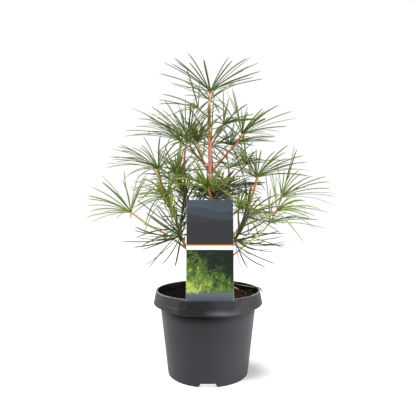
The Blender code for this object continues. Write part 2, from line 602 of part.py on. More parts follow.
class Room:
    """Keeps track of what fills the air, so that a new needle finds a free way."""

    def __init__(self, stems, hubs):
        """Start with the stems and the hubs of all whorls."""
        parts = [(name, *grown.segments()) for name, grown in stems.items()]
        self.starts = np.vstack([starts for _, starts, _, _ in parts])
        self.ends = np.vstack([ends for _, _, ends, _ in parts])
        self.reach = np.concatenate([radii + SCREEN for _, _, _, radii in parts])
        self.owner = np.concatenate([[name] * len(starts) for name, starts, _, _ in parts])
        self.hubs = hubs
        self.label = np.array(label_frame().inverted())

    def hits_label(self, points, own):
        """Say whether any point, with its own half width, comes close to the card."""
        local = points @ self.label[:3, :3].T + self.label[:3, 3]
        room = own + SCREEN
        near = np.abs(local[:, 0]) < LABEL_WIDTH / 2 + room
        near &= np.abs(local[:, 1]) < LABEL_THICKNESS / 2 + room
        near &= local[:, 2] < LABEL_ABOVE + room
        return bool(near.any())

    def clear(self, way, whorl_name, stem_name):
        """Say whether a needle's way is free of all but its own whorl and stem's hub."""
        steps = np.linspace(0.0, 1.0, WAY_STEPS)[:, None]
        points = np.vstack([way[0] + (way[1] - way[0]) * steps, way[1] + (way[2] - way[1]) * steps])
        own = np.concatenate([
            NEEDLE_FOOT + (NEEDLE_HALF_WIDTH - NEEDLE_FOOT) * steps[:, 0], NEEDLE_HALF_WIDTH * (1 - steps[:, 0])])
        if points[:, 2].min() < LOWEST_NEEDLE or self.hits_label(points, own):
            return False
        for name, hub in self.hubs.items():
            if name != whorl_name and np.linalg.norm(points - hub, axis=1).min() < HUB_ROOM:
                return False
        span = self.ends - self.starts
        square = (span ** 2).sum(axis=1)
        offset = points[:, None, :] - self.starts[None]
        along = np.clip((offset * span[None]).sum(axis=2) / square, 0.0, 1.0)
        distance = np.linalg.norm(offset - along[..., None] * span[None], axis=2)
        far = np.linalg.norm(points - self.hubs[whorl_name], axis=1) > OWN_HUB
        exempt = (self.owner == stem_name)[None] & ~far[:, None]
        exempt |= (self.owner == whorl_name)[None]
        return bool(((distance > self.reach[None] + own[:, None] + NEEDLE_SPACING) | exempt).all())

    def add(self, way, whorl_name):
        """Record a needle."""
        self.starts = np.vstack([self.starts, way[:2]])
        self.ends = np.vstack([self.ends, way[1:]])
        self.reach = np.append(self.reach, [NEEDLE_FOOT, NEEDLE_HALF_WIDTH])
        self.owner = np.append(self.owner, [whorl_name, whorl_name])


def needle_way(hub, reach, arch):
    """Return a needle's foot, middle and tip, with the middle lifted by the arch."""
    length = np.linalg.norm(reach)
    middle = hub + reach * 0.5 + np.array((0.0, 0.0, arch * length))
    return np.array([hub + reach * NEEDLE_START, middle, hub + reach])


def place_fan(whorl, hub, axis, room, rng):
    """Place the needles that the fan names, and return their ways."""
    ways = []
    centre = np.array((0.0, 0.0, SPREAD_HEIGHT))
    hub_scale = 1.0 + hub[1] / SPREAD_DISTANCE
    for index, (right, up) in enumerate(whorl.fan):
        left_over = (whorl.length ** 2 - right ** 2 - up ** 2) * MM ** 2
        depth = math.sqrt(max(left_over, FAN_LEAST_DEPTH ** 2))
        sign = -1 if index % 2 else 1
        for attempt in range(FAN_TRIES):
            slack = FAN_SLACK * attempt * whorl.length * MM
            forward = sign * depth * rng.uniform(0.8 - 0.8 * attempt / FAN_TRIES, 1.0)
            scale = (1.0 + (hub[1] + forward) / SPREAD_DISTANCE) / hub_scale
            tip = centre + (hub + np.array((right, 0.0, up)) * MM - centre) * scale
            tip[1] = hub[1] + forward
            tip[[0, 2]] += [rng.uniform(-slack, slack) for _ in range(2)]
            reach = tip - hub
            if attempt % FAN_FLIP == FAN_FLIP - 1:
                sign = -sign
            if np.dot(reach, axis) < FAN_BACKWARD * np.linalg.norm(reach):
                continue
            way = needle_way(hub, reach, whorl.arch)
            if room.clear(way, whorl.name, whorl.stem):
                room.add(way, whorl.name)
                ways.append(way)
                break
    return ways


def around(direction, basis):
    """Return a direction's turn around the stem."""
    _, side, up = basis
    return math.atan2(np.dot(direction, up), np.dot(direction, side)) % math.tau


def widest_gap(turns):
    """Return the start and width of the widest gap in a set of turns."""
    if not turns:
        return 0.0, math.tau
    order = sorted(turns)
    gaps = [((b - a) % math.tau or math.tau, a) for a, b in zip(order, order[1:] + order[:1])]
    width, start = max(gaps)
    return start, width


def fill_whorl(whorl, hub, basis, ways, room, rng):
    """Add needles where the whorl has most room, until it has its number."""
    tangent, side, up = basis
    for _ in range(whorl.total - len(ways)):
        start, width = widest_gap([around(way[2] - hub, basis) for way in ways])
        for attempt in range(FILL_TRIES):
            swing = rng.uniform(-FILL_SWING, FILL_SWING) * (1 + 3 * attempt / FILL_TRIES)
            turn = start + width * (0.5 + swing)
            spread = math.radians(rng.uniform(*FILL_ANGLES))
            length = whorl.length * MM * rng.uniform(*FILL_LENGTHS)
            outward = side * math.cos(turn) + up * math.sin(turn)
            reach = (tangent * math.cos(spread) + outward * math.sin(spread)) * length
            way = needle_way(hub, reach, whorl.arch)
            if room.clear(way, whorl.name, whorl.stem):
                room.add(way, whorl.name)
                ways.append(way)
                break
    return ways


def ring_mesh(basis, radius, segments):
    """Return a three-sided ring around a stem and its upper and lower outer faces, in order."""
    tangent, side, up = basis
    bm = bmesh.new()
    loops = []
    for reach, lift in ((radius, RING_HALF_HEIGHT), (radius + RING_DEPTH, 0.0), (radius, -RING_HALF_HEIGHT)):
        loop = []
        for k in range(segments):
            turn = math.tau * k / segments
            outward = side * math.cos(turn) + up * math.sin(turn)
            loop.append(bm.verts.new(outward * reach + tangent * lift))
        loops.append(loop)
    top, rim, bottom = loops
    upper, lower = [], []
    for k in range(segments):
        n = (k + 1) % segments
        upper.append(bm.faces.new((top[k], rim[k], rim[n], top[n])))
        lower.append(bm.faces.new((rim[k], bottom[k], bottom[n], rim[n])))
        bm.faces.new((bottom[k], top[k], top[n], bottom[n]))
    bm.normal_update()
    return bm, upper, lower


def grow_needle(bm, face, way):
    """Extrude one face of the ring to the needle's middle and draw it out to its tip."""
    centre = face.calc_center_median()
    heading = (Vector(way[2]) - centre).normalized()
    feet = [vert.co.copy() for vert in face.verts]
    across = (feet[2] + feet[3]) / 2 - (feet[0] + feet[1]) / 2
    across -= heading * across.dot(heading)
    across.normalize()
    thick = heading.cross(across)
    corners = [
        across * NEEDLE_HALF_WIDTH * a + thick * NEEDLE_HALF_THICKNESS * b
        for a, b in ((-1, 1), (-1, -1), (1, -1), (1, 1))]
    middle = bmesh.ops.extrude_discrete_faces(bm, faces=[face])["faces"][0]
    for vert, foot, corner in zip(middle.verts, feet, corners):
        vert.co = Vector(way[1]) + corner
    blade = list(middle.verts)
    tip = bmesh.ops.poke(bm, faces=[middle])["verts"][0]
    tip.co = Vector(way[2])
    return blade + [tip]


def seat_needles(faces, headings, power):
    """Give each needle its own face of the ring, so that all leave the ring as squarely as they can."""
    normals = np.array([face.normal for face in faces])
    cost = (1.0 - headings @ normals.T) ** power
    seats = list(range(len(headings)))
    better = True
    while better:
        better = False
        for needle in range(len(headings)):
            for face in range(len(faces)):
                old = seats[needle]
                if face == old:
                    continue
                other = seats.index(face) if face in seats else None
                gain = cost[needle, old] - cost[needle, face]
                if other is not None:
                    gain += cost[other, face] - cost[other, old]
                if gain > SEAT_GAIN:
                    seats[needle] = face
                    if other is not None:
                        seats[other] = old
                    better = True
    return seats


def ring_segments(needles):
    """Return how many sides the ring of a whorl has."""
    return max(math.ceil(needles * RING_SIDES_PER_NEEDLE), RING_SEGMENTS)


def windings(triangles, points):
    """Return how many times the triangles wrap around each point."""
    a, b, c = (triangles[None, :, k] - points[:, None] for k in range(3))
    far = [np.linalg.norm(corner, axis=2) for corner in (a, b, c)]
    volume = (a * np.cross(b, c)).sum(axis=2)
    base = far[0] * far[1] * far[2] + (a * b).sum(axis=2) * far[2]
    base += (b * c).sum(axis=2) * far[0] + (c * a).sum(axis=2) * far[1]
    return 2 * np.arctan2(volume, base).sum(axis=1) / (4 * math.pi)


def count_faults(bm, blades):
    """Return for each needle how many of its triangles lie in another needle or are turned over."""
    bm.verts.index_update()
    owner = {vert.index: needle for needle, blade in enumerate(blades) for vert in blade}
    copy = bm.copy()
    bmesh.ops.triangulate(copy, faces=copy.faces)
    triangles = np.array([[vert.co for vert in face.verts] for face in copy.faces], float)
    owners = [max((owner.get(vert.index, -1) for vert in face.verts)) for face in copy.faces]
    copy.free()
    normals = np.cross(triangles[:, 1] - triangles[:, 0], triangles[:, 2] - triangles[:, 0])
    normals /= np.linalg.norm(normals, axis=1)[:, None]
    centres = triangles.mean(axis=1)
    wrong = windings(triangles, centres - normals * PROBE) < 0.5
    wrong |= windings(triangles, centres + normals * PROBE) > 0.5
    faults = [0] * len(blades)
    for needle, bad in zip(owners, wrong):
        if needle >= 0:
            faults[needle] += int(bad)
    return faults


def brushes_stem(blade, hub, grown):
    """Say whether a needle's lower half runs into the stem that it grows on."""
    foot = np.mean([vert.co for vert in blade[:-1] for vert in foot_of(vert, blade)], axis=0) + hub
    middle = np.mean([vert.co for vert in blade[:-1]], axis=0) + hub
    starts, ends, radii = grown.segments()
    points = foot + (middle - foot) * np.linspace(STEM_CHECK_FROM, 1.0, WAY_STEPS)[:, None]
    span = ends - starts
    offset = points[:, None, :] - starts[None]
    along = np.clip((offset * span[None]).sum(axis=2) / (span ** 2).sum(axis=1), 0.0, 1.0)
    distance = np.linalg.norm(offset - along[..., None] * span[None], axis=2)
    return bool((distance < radii[None] + NEEDLE_HALF_WIDTH + NEEDLE_SPACING).any())


def foot_of(vert, blade):
    """Return the corner of the ring that a corner of the needle's middle was drawn from."""
    joined = [edge.other_vert(vert) for edge in vert.link_edges]
    return [other for other in joined if other not in blade]


def whorl_mesh(whorl, hub, basis, radius, ways, grown, power):
    """Return the mesh of a whorl, and how many faults each needle has."""
    bm, upper, lower = ring_mesh(basis, radius, ring_segments(whorl.total))
    headings = np.array([way[2] - hub for way in ways])
    headings /= np.linalg.norm(headings, axis=1)[:, None]
    faces = upper + lower
    seats = seat_needles(faces, headings, power)
    blades = [grow_needle(bm, faces[seat], way - hub) for seat, way in zip(seats, ways)]
    faults = count_faults(bm, blades)
    return bm, [count + int(brushes_stem(blade, hub, grown)) for count, blade in zip(faults, blades)]


def make_whorl(whorl, hub, basis, radius, ways, grown):
    """Build a whorl: a ring around the stem with its needles drawn out of it.

    Of several ways to seat the needles it takes the cleanest, and it leaves out a needle that still crosses another
    or its own stem.
    """
    ways = list(ways)
    while True:
        tries = [whorl_mesh(whorl, hub, basis, radius, ways, grown, power) for power in SEAT_POWERS]
        bm, faults = min(tries, key=lambda attempt: sum(attempt[1]))
        if not any(faults):
            break
        worst = max(range(len(ways)), key=lambda needle: (faults[needle], needle))
        ways.pop(worst)
    solid(whorl.name, bm, whorl.finish, Matrix.Translation(hub))


def make_plant(rng):
    """Grow the stems, then find a free way for every needle and build the whorls."""
    stems = {}
    for spec in STEMS:
        stems[spec.name] = Grown(spec, stems.get(spec.parent))
        grown = stems[spec.name]
        tube(spec.name, grown.curve, grown.radii, spec.sides, spec.finish, grown.saddle)
    places = {}
    for whorl in WHORLS:
        grown = stems[whorl.stem]
        index = grown.hub_index if whorl.height is None else grown.at_height(whorl.height)
        basis = frames(grown.curve[index - 1:index + 2])[1]
        flats = math.cos(math.pi / ring_segments(whorl.total))
        radius = (grown.radii[index - 1] + GAP) / flats + GAP
        places[whorl.name] = (grown.curve[index], basis, radius)
    room = Room(stems, {name: place[0] for name, place in places.items()})
    ways = {}
    for whorl in WHORLS:
        hub, basis, _ = places[whorl.name]
        ways[whorl.name] = place_fan(whorl, hub, basis[0], room, rng)
    for whorl in WHORLS:
        hub, basis, radius = places[whorl.name]
        fill_whorl(whorl, hub, basis, ways[whorl.name], room, rng)
        make_whorl(whorl, hub, basis, radius, ways[whorl.name], stems[whorl.stem])


def make_litter():
    """Lay the dry needle over the rim and the twig on the soil."""
    for name, route, radius, finish in (
            ("dry_needle", DRY_NEEDLE, DRY_NEEDLE_RADIUS, STRAW),
            ("fallen_twig", FALLEN_TWIG, FALLEN_TWIG_RADIUS, RED_BARK)):
        curve = smooth_route(route)
        tube(name, curve, np.full(len(curve), radius * MM), LITTER_SIDES, finish)


def main():
    """Build the whole object."""
    rng = random.Random(SEED)
    clear_scene()
    make_pot()
    make_soil(rng)
    make_label()
    make_plant(rng)
    make_litter()


main()
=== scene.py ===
"""The looks of a young umbrella pine in a nursery pot: needles, bark, buds, pot, earth and card label.

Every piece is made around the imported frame, in metres, with +Z up and the card label towards -Y.
"""

import json
import logging
import math
import random
from dataclasses import dataclass
from enum import Enum
from functools import reduce
from typing import Any

import bmesh
import bpy
import numpy as np
from mathutils import Matrix, Vector


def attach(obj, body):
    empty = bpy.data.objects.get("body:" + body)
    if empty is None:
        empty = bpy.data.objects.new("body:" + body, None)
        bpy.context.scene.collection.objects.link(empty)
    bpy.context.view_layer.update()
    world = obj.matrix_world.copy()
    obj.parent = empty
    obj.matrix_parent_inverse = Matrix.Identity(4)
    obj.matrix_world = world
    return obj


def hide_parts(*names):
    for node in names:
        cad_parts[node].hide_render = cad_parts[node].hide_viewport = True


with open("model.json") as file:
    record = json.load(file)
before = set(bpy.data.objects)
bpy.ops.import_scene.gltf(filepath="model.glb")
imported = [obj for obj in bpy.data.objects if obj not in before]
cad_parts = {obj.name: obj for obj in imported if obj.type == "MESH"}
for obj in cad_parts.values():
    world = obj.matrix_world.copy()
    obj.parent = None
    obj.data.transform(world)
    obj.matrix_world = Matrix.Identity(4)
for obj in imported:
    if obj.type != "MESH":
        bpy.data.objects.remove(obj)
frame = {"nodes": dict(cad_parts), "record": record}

LOG = logging.getLogger("umbrella_pine")
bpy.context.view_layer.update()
BODY = "root"
MM = 0.001

Colour = tuple[float, float, float]
Pair = tuple[float, float]
Band = tuple[float, float, float, float]
Ring = list[bmesh.types.BMVert]
Feeds = dict[Any, Any]
Socket = bpy.types.NodeSocket
Piece = bpy.types.Object


def clamp(value: float, low: float = 0.0, high: float = 1.0) -> float:
    """The value, held between low and high."""
    return min(max(value, low), high)


def smooth_step(low: float, high: float, value: float) -> float:
    """How far the value has come from low to high, from 0 to 1, with an easy start and stop."""
    share = clamp((value - low) / (high - low))
    return share * share * (3.0 - 2.0 * share)


def soft_least(first: float, second: float, ease: float) -> float:
    """The smaller of two lengths, rounded where they are closer together than the ease."""
    near = max(ease - abs(first - second), 0.0) / ease
    return min(first, second) - near * near * ease / 4.0


def shaded(colour: Colour, share: float) -> Colour:
    """The colour, made darker or lighter."""
    return tuple(share * part for part in colour)


# ---- node trees


class Wiring:
    """Adds nodes to a node tree and joins them up."""

    def __init__(self, tree: bpy.types.NodeTree) -> None:
        """Takes the tree that the nodes go into."""
        self.tree = tree

    def add(self, kind: str, feeds: Feeds | None = None, **settings: Any) -> bpy.types.Node:
        """Adds a node, sets it up and feeds its inputs.

        Args:
            kind: The node's Blender type.
            feeds: For each input's name or number, the socket or the value that feeds it.
            settings: The node's own settings.

        Returns:
            The node.
        """
        node = self.tree.nodes.new(kind)
        for key, value in settings.items():
            setattr(node, key, value)
        for key, value in (feeds or {}).items():
            if isinstance(value, Socket):
                self.tree.links.new(value, node.inputs[key])
            else:
                node.inputs[key].default_value = value
        return node

    def maths(self, operation: str, *values: Any) -> Socket:
        """The result of one sum on up to three numbers or sockets."""
        return self.add("ShaderNodeMath", dict(enumerate(values)), operation=operation).outputs[0]

    def times(self, *values: Any) -> Socket:
        """The product of some numbers and sockets."""
        return reduce(lambda first, second: self.maths("MULTIPLY", first, second), values)

    def plus(self, *values: Any) -> Socket:
        """The sum of some numbers and sockets."""
        return reduce(lambda first, second: self.maths("ADD", first, second), values)

    def less(self, value: Any, taken: Any) -> Socket:
        """The first number or socket less the second."""
        return self.maths("SUBTRACT", value, taken)

    def straight(self, value: Any, slope: Any, start: Any) -> Socket:
        """The value times a slope, from a start."""
        return self.maths("MULTIPLY_ADD", value, slope, start)

    def vector_maths(self, operation: str, *values: Any) -> Socket:
        """The result of one sum on up to three vectors or sockets."""
        node = self.add("ShaderNodeVectorMath", dict(enumerate(values)), operation=operation)
        return node.outputs["Value"] if operation == "LENGTH" else node.outputs[0]

    def scaled(self, vector: Socket, share: Any) -> Socket:
        """The vector, made longer or shorter."""
        return self.add("ShaderNodeVectorMath", {0: vector, "Scale": share}, operation="SCALE").outputs[0]

    def band(self, value: Socket, low: float, high: float, start: float = 0.0, end: float = 1.0) -> Socket:
        """The value, led smoothly from low..high to start..end and held there."""
        feeds = {"Value": value, "From Min": low, "From Max": high, "To Min": start, "To Max": end}
        return self.add("ShaderNodeMapRange", feeds, interpolation_type="SMOOTHSTEP").outputs[0]

    def span(self, value: Socket, rise: Pair, fall: Pair) -> Socket:
        """1 between a smooth rise and a smooth fall of the value, and 0 beyond them."""
        return self.times(self.band(value, *rise), self.band(value, *fall, 1.0, 0.0))

    def noise(self, where: Socket, scale: float, detail: float = 2.0, rough: float = 0.5) -> Socket:
        """A soft random pattern."""
        feeds = {"Vector": where, "Scale": scale, "Detail": detail, "Roughness": rough}
        return self.add("ShaderNodeTexNoise", feeds).outputs[0]

    def joined(self, across: Any = 0.0, deep: Any = 0.0, up: Any = 0.0) -> Socket:
        """A vector of three numbers or sockets."""
        return self.add("ShaderNodeCombineXYZ", {0: across, 1: deep, 2: up}).outputs[0]

    def parts(self, vector: Socket) -> list[Socket]:
        """The three numbers of a vector."""
        return list(self.add("ShaderNodeSeparateXYZ", {0: vector}).outputs)

    def seen(self) -> Socket:
        """Tells what the camera sees, straight, in a gloss or through glass, from light on the plant.

        Returns:
            1 for what the camera sees and 0 for light on the plant.
        """
        rays = self.add("ShaderNodeLightPath").outputs
        mirrored = self.maths("MAXIMUM", rays["Is Glossy Ray"], rays["Is Transmission Ray"])
        return self.maths("MAXIMUM", rays["Is Camera Ray"], mirrored)


class Paint(Wiring):
    """A material in the making, with one main shader."""

    def __init__(self, name: str, rough: float, **shader: Any) -> None:
        """Makes the material.

        Args:
            name: The material's name.
            rough: How matt the surface is.
            shader: Values of the shader's own sockets that are the same everywhere.
        """
        self.material = bpy.data.materials.new(name)
        self.material.use_nodes = True
        super().__init__(self.material.node_tree)
        self.shader = self.tree.nodes["Principled BSDF"]
        self.shader.inputs["Roughness"].default_value = rough
        for key, value in shader.items():
            self.shader.inputs[key.replace("_", " ")].default_value = value

    def place(self) -> Socket:
        """The place on the piece, in metres."""
        return self.add("ShaderNodeTexCoord").outputs["Object"]

    def read(self, name: str, output: str = "Fac") -> Socket:
        """A value that was stored on the piece's mesh."""
        return self.add("ShaderNodeAttribute", attribute_name=name).outputs[output]

    def mix(self, share: Any, first: Any, second: Any, way: str = "MIX") -> Socket:
        """Mixes two colours.

        Args:
            share: How much of the second there is, as a number or a socket.
            first: The first colour, as a socket or a plain colour.
            second: The second colour, likewise.
            way: How the two are mixed.

        Returns:
            The mixed colour.
        """
        node = self.add("ShaderNodeMix", data_type="RGBA", blend_type=way)
        for socket, value in zip((node.inputs[0], node.inputs[6], node.inputs[7]), (share, first, second)):
            if isinstance(value, Socket):
                self.tree.links.new(value, socket)
            elif socket.type == "RGBA":
                socket.default_value = (*value, 1.0)
            else:
                socket.default_value = value
        return node.outputs[2]

    def grey(self, light: Socket) -> Socket:
        """A grey of the lightness given."""
        return self.add("ShaderNodeCombineColor", {0: light, 1: light, 2: light}).outputs[0]

    def dimmed(self, body: Any, light: Socket) -> Socket:
        """A colour, darkened or lightened by a share that changes from place to place."""
        return self.mix(1.0, body, self.grey(light), "MULTIPLY")

    def feed(self, name: str, value: Socket) -> None:
        """Feeds one of the shader's sockets."""
        self.tree.links.new(value, self.shader.inputs[name])

    def relief(self, height: Socket, depth: float, strength: float = 1.0) -> None:
        """Gives the surface a fine relief of the depth given, in metres."""
        bump = self.add("ShaderNodeBump", {"Height": height, "Distance": depth, "Strength": strength})
        self.feed("Normal", bump.outputs[0])


class Form(Wiring):
    """A Geometry Nodes tree in the making, which turns a drawn mesh into a finished one."""

    def __init__(self, name: str) -> None:
        """Starts a tree with a mesh as its input and its output.

        Args:
            name: The tree's name.
        """
        super().__init__(bpy.data.node_groups.new(name, "GeometryNodeTree"))
        self.tree.interface.new_socket("Drawn", in_out="INPUT", socket_type="NodeSocketGeometry")
        self.tree.interface.new_socket("Made", in_out="OUTPUT", socket_type="NodeSocketGeometry")
        self.entry = self.tree.nodes.new("NodeGroupInput")
        self.exit = self.tree.nodes.new("NodeGroupOutput")
        self.drawn = self.entry.outputs["Drawn"]

    def size(self, name: str, kind: str = "NodeSocketFloat") -> Socket:
        """Adds a named input to the tree."""
        self.tree.interface.new_socket(name, in_out="INPUT", socket_type=kind)
        return self.entry.outputs[name]

    def read(self, name: str, kind: str = "FLOAT") -> Socket:
        """A value that was stored on the drawn mesh."""
        return self.add("GeometryNodeInputNamedAttribute", {"Name": name}, data_type=kind).outputs[0]

    def store(self, shape: Socket, name: str, value: Any, kind: str = "FLOAT", domain: str = "POINT") -> Socket:
        """Stores a value on the shape under a name."""
        feeds = {"Geometry": shape, "Name": name, "Value": value}
        return self.add("GeometryNodeStoreNamedAttribute", feeds, data_type=kind, domain=domain).outputs[0]

    def chance(self, low: Any, high: Any, seed: int, kind: str = "FLOAT") -> Socket:
        """Makes a random number or vector for each point.

        Args:
            low: The least that it may be.
            high: The most that it may be.
            seed: Sets this choice apart from the others.
            kind: Whether it is a number or a vector.

        Returns:
            The random value.
        """
        node = self.add("FunctionNodeRandomValue", data_type=kind)
        ends = [socket for socket in node.inputs if socket.enabled and socket.name in ("Min", "Max")]
        for socket, value in zip(ends, (low, high)):
            socket.default_value = value
        next(socket for socket in node.inputs if socket.name == "Seed").default_value = seed
        return next(socket for socket in node.outputs if socket.enabled)

    def close(self, *shapes: Socket) -> None:
        """Ends the tree: the shapes together, as real, smooth geometry with their finish.

        Args:
            shapes: The shapes that the tree has made.
        """
        shape = shapes[0]
        if len(shapes) > 1:
            join = self.add("GeometryNodeJoinGeometry")
            for part in shapes:
                self.tree.links.new(part, join.inputs[0])
            shape = join.outputs[0]
        real = self.add("GeometryNodeRealizeInstances", {"Geometry": shape}).outputs[0]
        smooth = self.add("GeometryNodeSetShadeSmooth", {"Geometry": real, "Shade Smooth": True}).outputs[0]
        finish = self.size("Finish", "NodeSocketMaterial")
        dressed = self.add("GeometryNodeSetMaterial", {"Geometry": smooth, "Material": finish}).outputs[0]
        self.tree.links.new(dressed, self.exit.inputs[0])

    def bake(self, piece: Piece, sizes: dict[str, Any]) -> Piece:
        """Runs the tree on a drawn piece and keeps the result as its mesh.

        Args:
            piece: The object that holds the drawn mesh.
            sizes: The value of each named input.

        Returns:
            The same object with its finished mesh.
        """
        maker = piece.modifiers.new(self.tree.name, "NODES")
        maker.node_group = self.tree
        keys = {item.name: item.identifier for item in self.tree.interface.items_tree if item.in_out == "INPUT"}
        for name, value in sizes.items():
            maker[keys[name]] = value
        depsgraph = bpy.context.evaluated_depsgraph_get()
        evaluated = piece.evaluated_get(depsgraph)
        made = bpy.data.meshes.new_from_object(evaluated, preserve_all_data_layers=True, depsgraph=depsgraph)
        piece.modifiers.remove(maker)
        piece.data = made
        return piece


# ---- meshes and the frame


def new_piece(name: str, mesh: bpy.types.Mesh) -> Piece:
    """Makes an object at the origin.

    Args:
        name: The object's name.
        mesh: Its mesh.

    Returns:
        The object.
    """
    piece = bpy.data.objects.new(name, mesh)
    bpy.context.scene.collection.objects.link(piece)
    return piece


def finished(mesh: bmesh.types.BMesh, name: str) -> bpy.types.Mesh:
    """Turns a mesh in the making into a kept one.

    Args:
        mesh: The mesh in the making, which is freed.
        name: The kept mesh's name.

    Returns:
        The kept mesh.
    """
    made = bpy.data.meshes.new(name)
    mesh.to_mesh(made)
    mesh.free()
    return made


def bridge(mesh: bmesh.types.BMesh, near: Ring, far: Ring) -> None:
    """Joins two closed rings with a band of faces.

    Args:
        mesh: The mesh that holds both.
        near: The first ring.
        far: The second ring, with as many corners.
    """
    for k in range(len(near)):
        step = (k + 1) % len(near)
        mesh.faces.new((near[k], near[step], far[step], far[k]))


@dataclass
class Line:
    """A drawn line of points with a girth and other values at each."""

    points: np.ndarray
    values: dict[str, np.ndarray]


def drawn(name: str, lines: list[Line]) -> Piece:
    """Makes a piece of bare lines, with each line's values stored on its points.

    Args:
        name: The piece's name.
        lines: The lines.

    Returns:
        The piece.
    """
    mesh = bpy.data.meshes.new(name)
    points, edges, start = [], [], 0
    for line in lines:
        count = len(line.points)
        points.append(line.points)
        edges.extend((start + k, start + k + 1) for k in range(count - 1))
        start += count
    mesh.from_pydata(np.concatenate(points).tolist(), edges, [])
    for key in lines[0].values:
        data = np.concatenate([line.values[key] for line in lines]).astype(np.float32)
        kind = "FLOAT" if data.ndim == 1 else "FLOAT_VECTOR"
        store = mesh.attributes.new(key, kind, "POINT").data
        store.foreach_set("value" if data.ndim == 1 else "vector", data.ravel())
    return new_piece(name, mesh)


def welded(node: str) -> bmesh.types.BMesh:
    """Copies a frame node's mesh and joins its loose triangles.

    Args:
        node: The node.

    Returns:
        The joined copy.
    """
    mesh = bmesh.new()
    mesh.from_mesh(frame["nodes"][node].data)
    bmesh.ops.remove_doubles(mesh, verts=mesh.verts, dist=1e-6)
    mesh.verts.index_update()
    return mesh


def in_order(verts: Any) -> Ring:
    """The vertices in their mesh's order, so that sums over them come out the same each run."""
    return sorted(verts, key=lambda vert: vert.index)


def middle(verts: Any) -> Vector:
    """The mean place of some vertices."""
    places = [vert.co for vert in in_order(verts)]
    return sum(places, Vector()) / len(places)


@dataclass
class Centreline:
    """The middle line of a stem, with its radius at each point."""

    points: list[Vector]
    radii: list[float]

    @classmethod
    def of_node(cls, node: str) -> "Centreline":
        """Follows the rings of a stem's mesh from its foot to the tip of its bud.

        Args:
            node: The stem's node in the frame.

        Returns:
            The stem's middle line.
        """
        mesh = welded(node)
        rings: list[Ring] = []
        for start in sorted(mesh.verts, key=lambda vert: -vert.co.z):
            rings = cls.rings_from(start)
            if rings:
                break
        points = [middle(ring) for ring in rings]
        radii = [sum((vert.co - point).length for vert in ring) / len(ring) for ring, point in zip(rings, points)]
        radii[-1] = radii[-2]
        mesh.free()
        return cls(points[::-1], radii[::-1])

    @staticmethod
    def rings_from(tip: bmesh.types.BMVert) -> list[Ring]:
        """Follows a stem's rings from its tip.

        Args:
            tip: The vertex to start from.

        Returns:
            The tip and the rings that follow it, or none where the vertex isn't a tip.
        """
        seen, ring, rings = {tip}, [tip], [[tip]]
        while ring:
            ring = in_order({edge.other_vert(vert) for vert in ring for edge in vert.link_edges} - seen)
            seen.update(ring)
            if ring:
                rings.append(ring)
        if len(rings[-1]) == 1:
            rings.pop()
        sizes = {len(ring) for ring in rings[1:]}
        return rings if len(sizes) == 1 and sizes.pop() in (6, 8) else []

    def nearest(self, place: Vector) -> tuple[Vector, Vector]:
        """Finds the point of the line that is closest to a place.

        Args:
            place: The place.

        Returns:
            The point, and the line's direction there.
        """
        best = None
        for first, second in zip(self.points, self.points[1:]):
            way = second - first
            share = clamp((place - first).dot(way) / max(way.length_squared, 1e-12))
            point = first + way * share
            gap = (place - point).length
            if best is None or gap < best[0]:
                best = (gap, point, way.normalized())
        return best[1], best[2]

    def smooth(self, step: float) -> tuple[np.ndarray, np.ndarray]:
        """Lays a smooth curve through the line's points.

        Args:
            step: The length between the curve's points.

        Returns:
            The curve's points and the radius at each.
        """
        points = np.array(self.points)
        lengths = np.concatenate([[0.0], np.cumsum(np.linalg.norm(np.diff(points, axis=0), axis=1))])
        count = max(int(lengths[-1] / step), 4)
        steps = np.linspace(0.0, lengths[-1], count + 1)
        slopes = np.gradient(points, lengths, axis=0)
        out = []
        for where in steps:
            k = min(int(np.searchsorted(lengths, where, "right")) - 1, len(lengths) - 2)
            span = lengths[k + 1] - lengths[k]
            t = (where - lengths[k]) / span
            out.append(
                points[k] * (2 * t**3 - 3 * t**2 + 1)
                + slopes[k] * span * (t**3 - 2 * t**2 + t)
                + points[k + 1] * (3 * t**2 - 2 * t**3)
                + slopes[k + 1] * span * (t**3 - t**2)
            )
        return np.array(out), np.interp(steps, lengths, self.radii)


# ---- needles


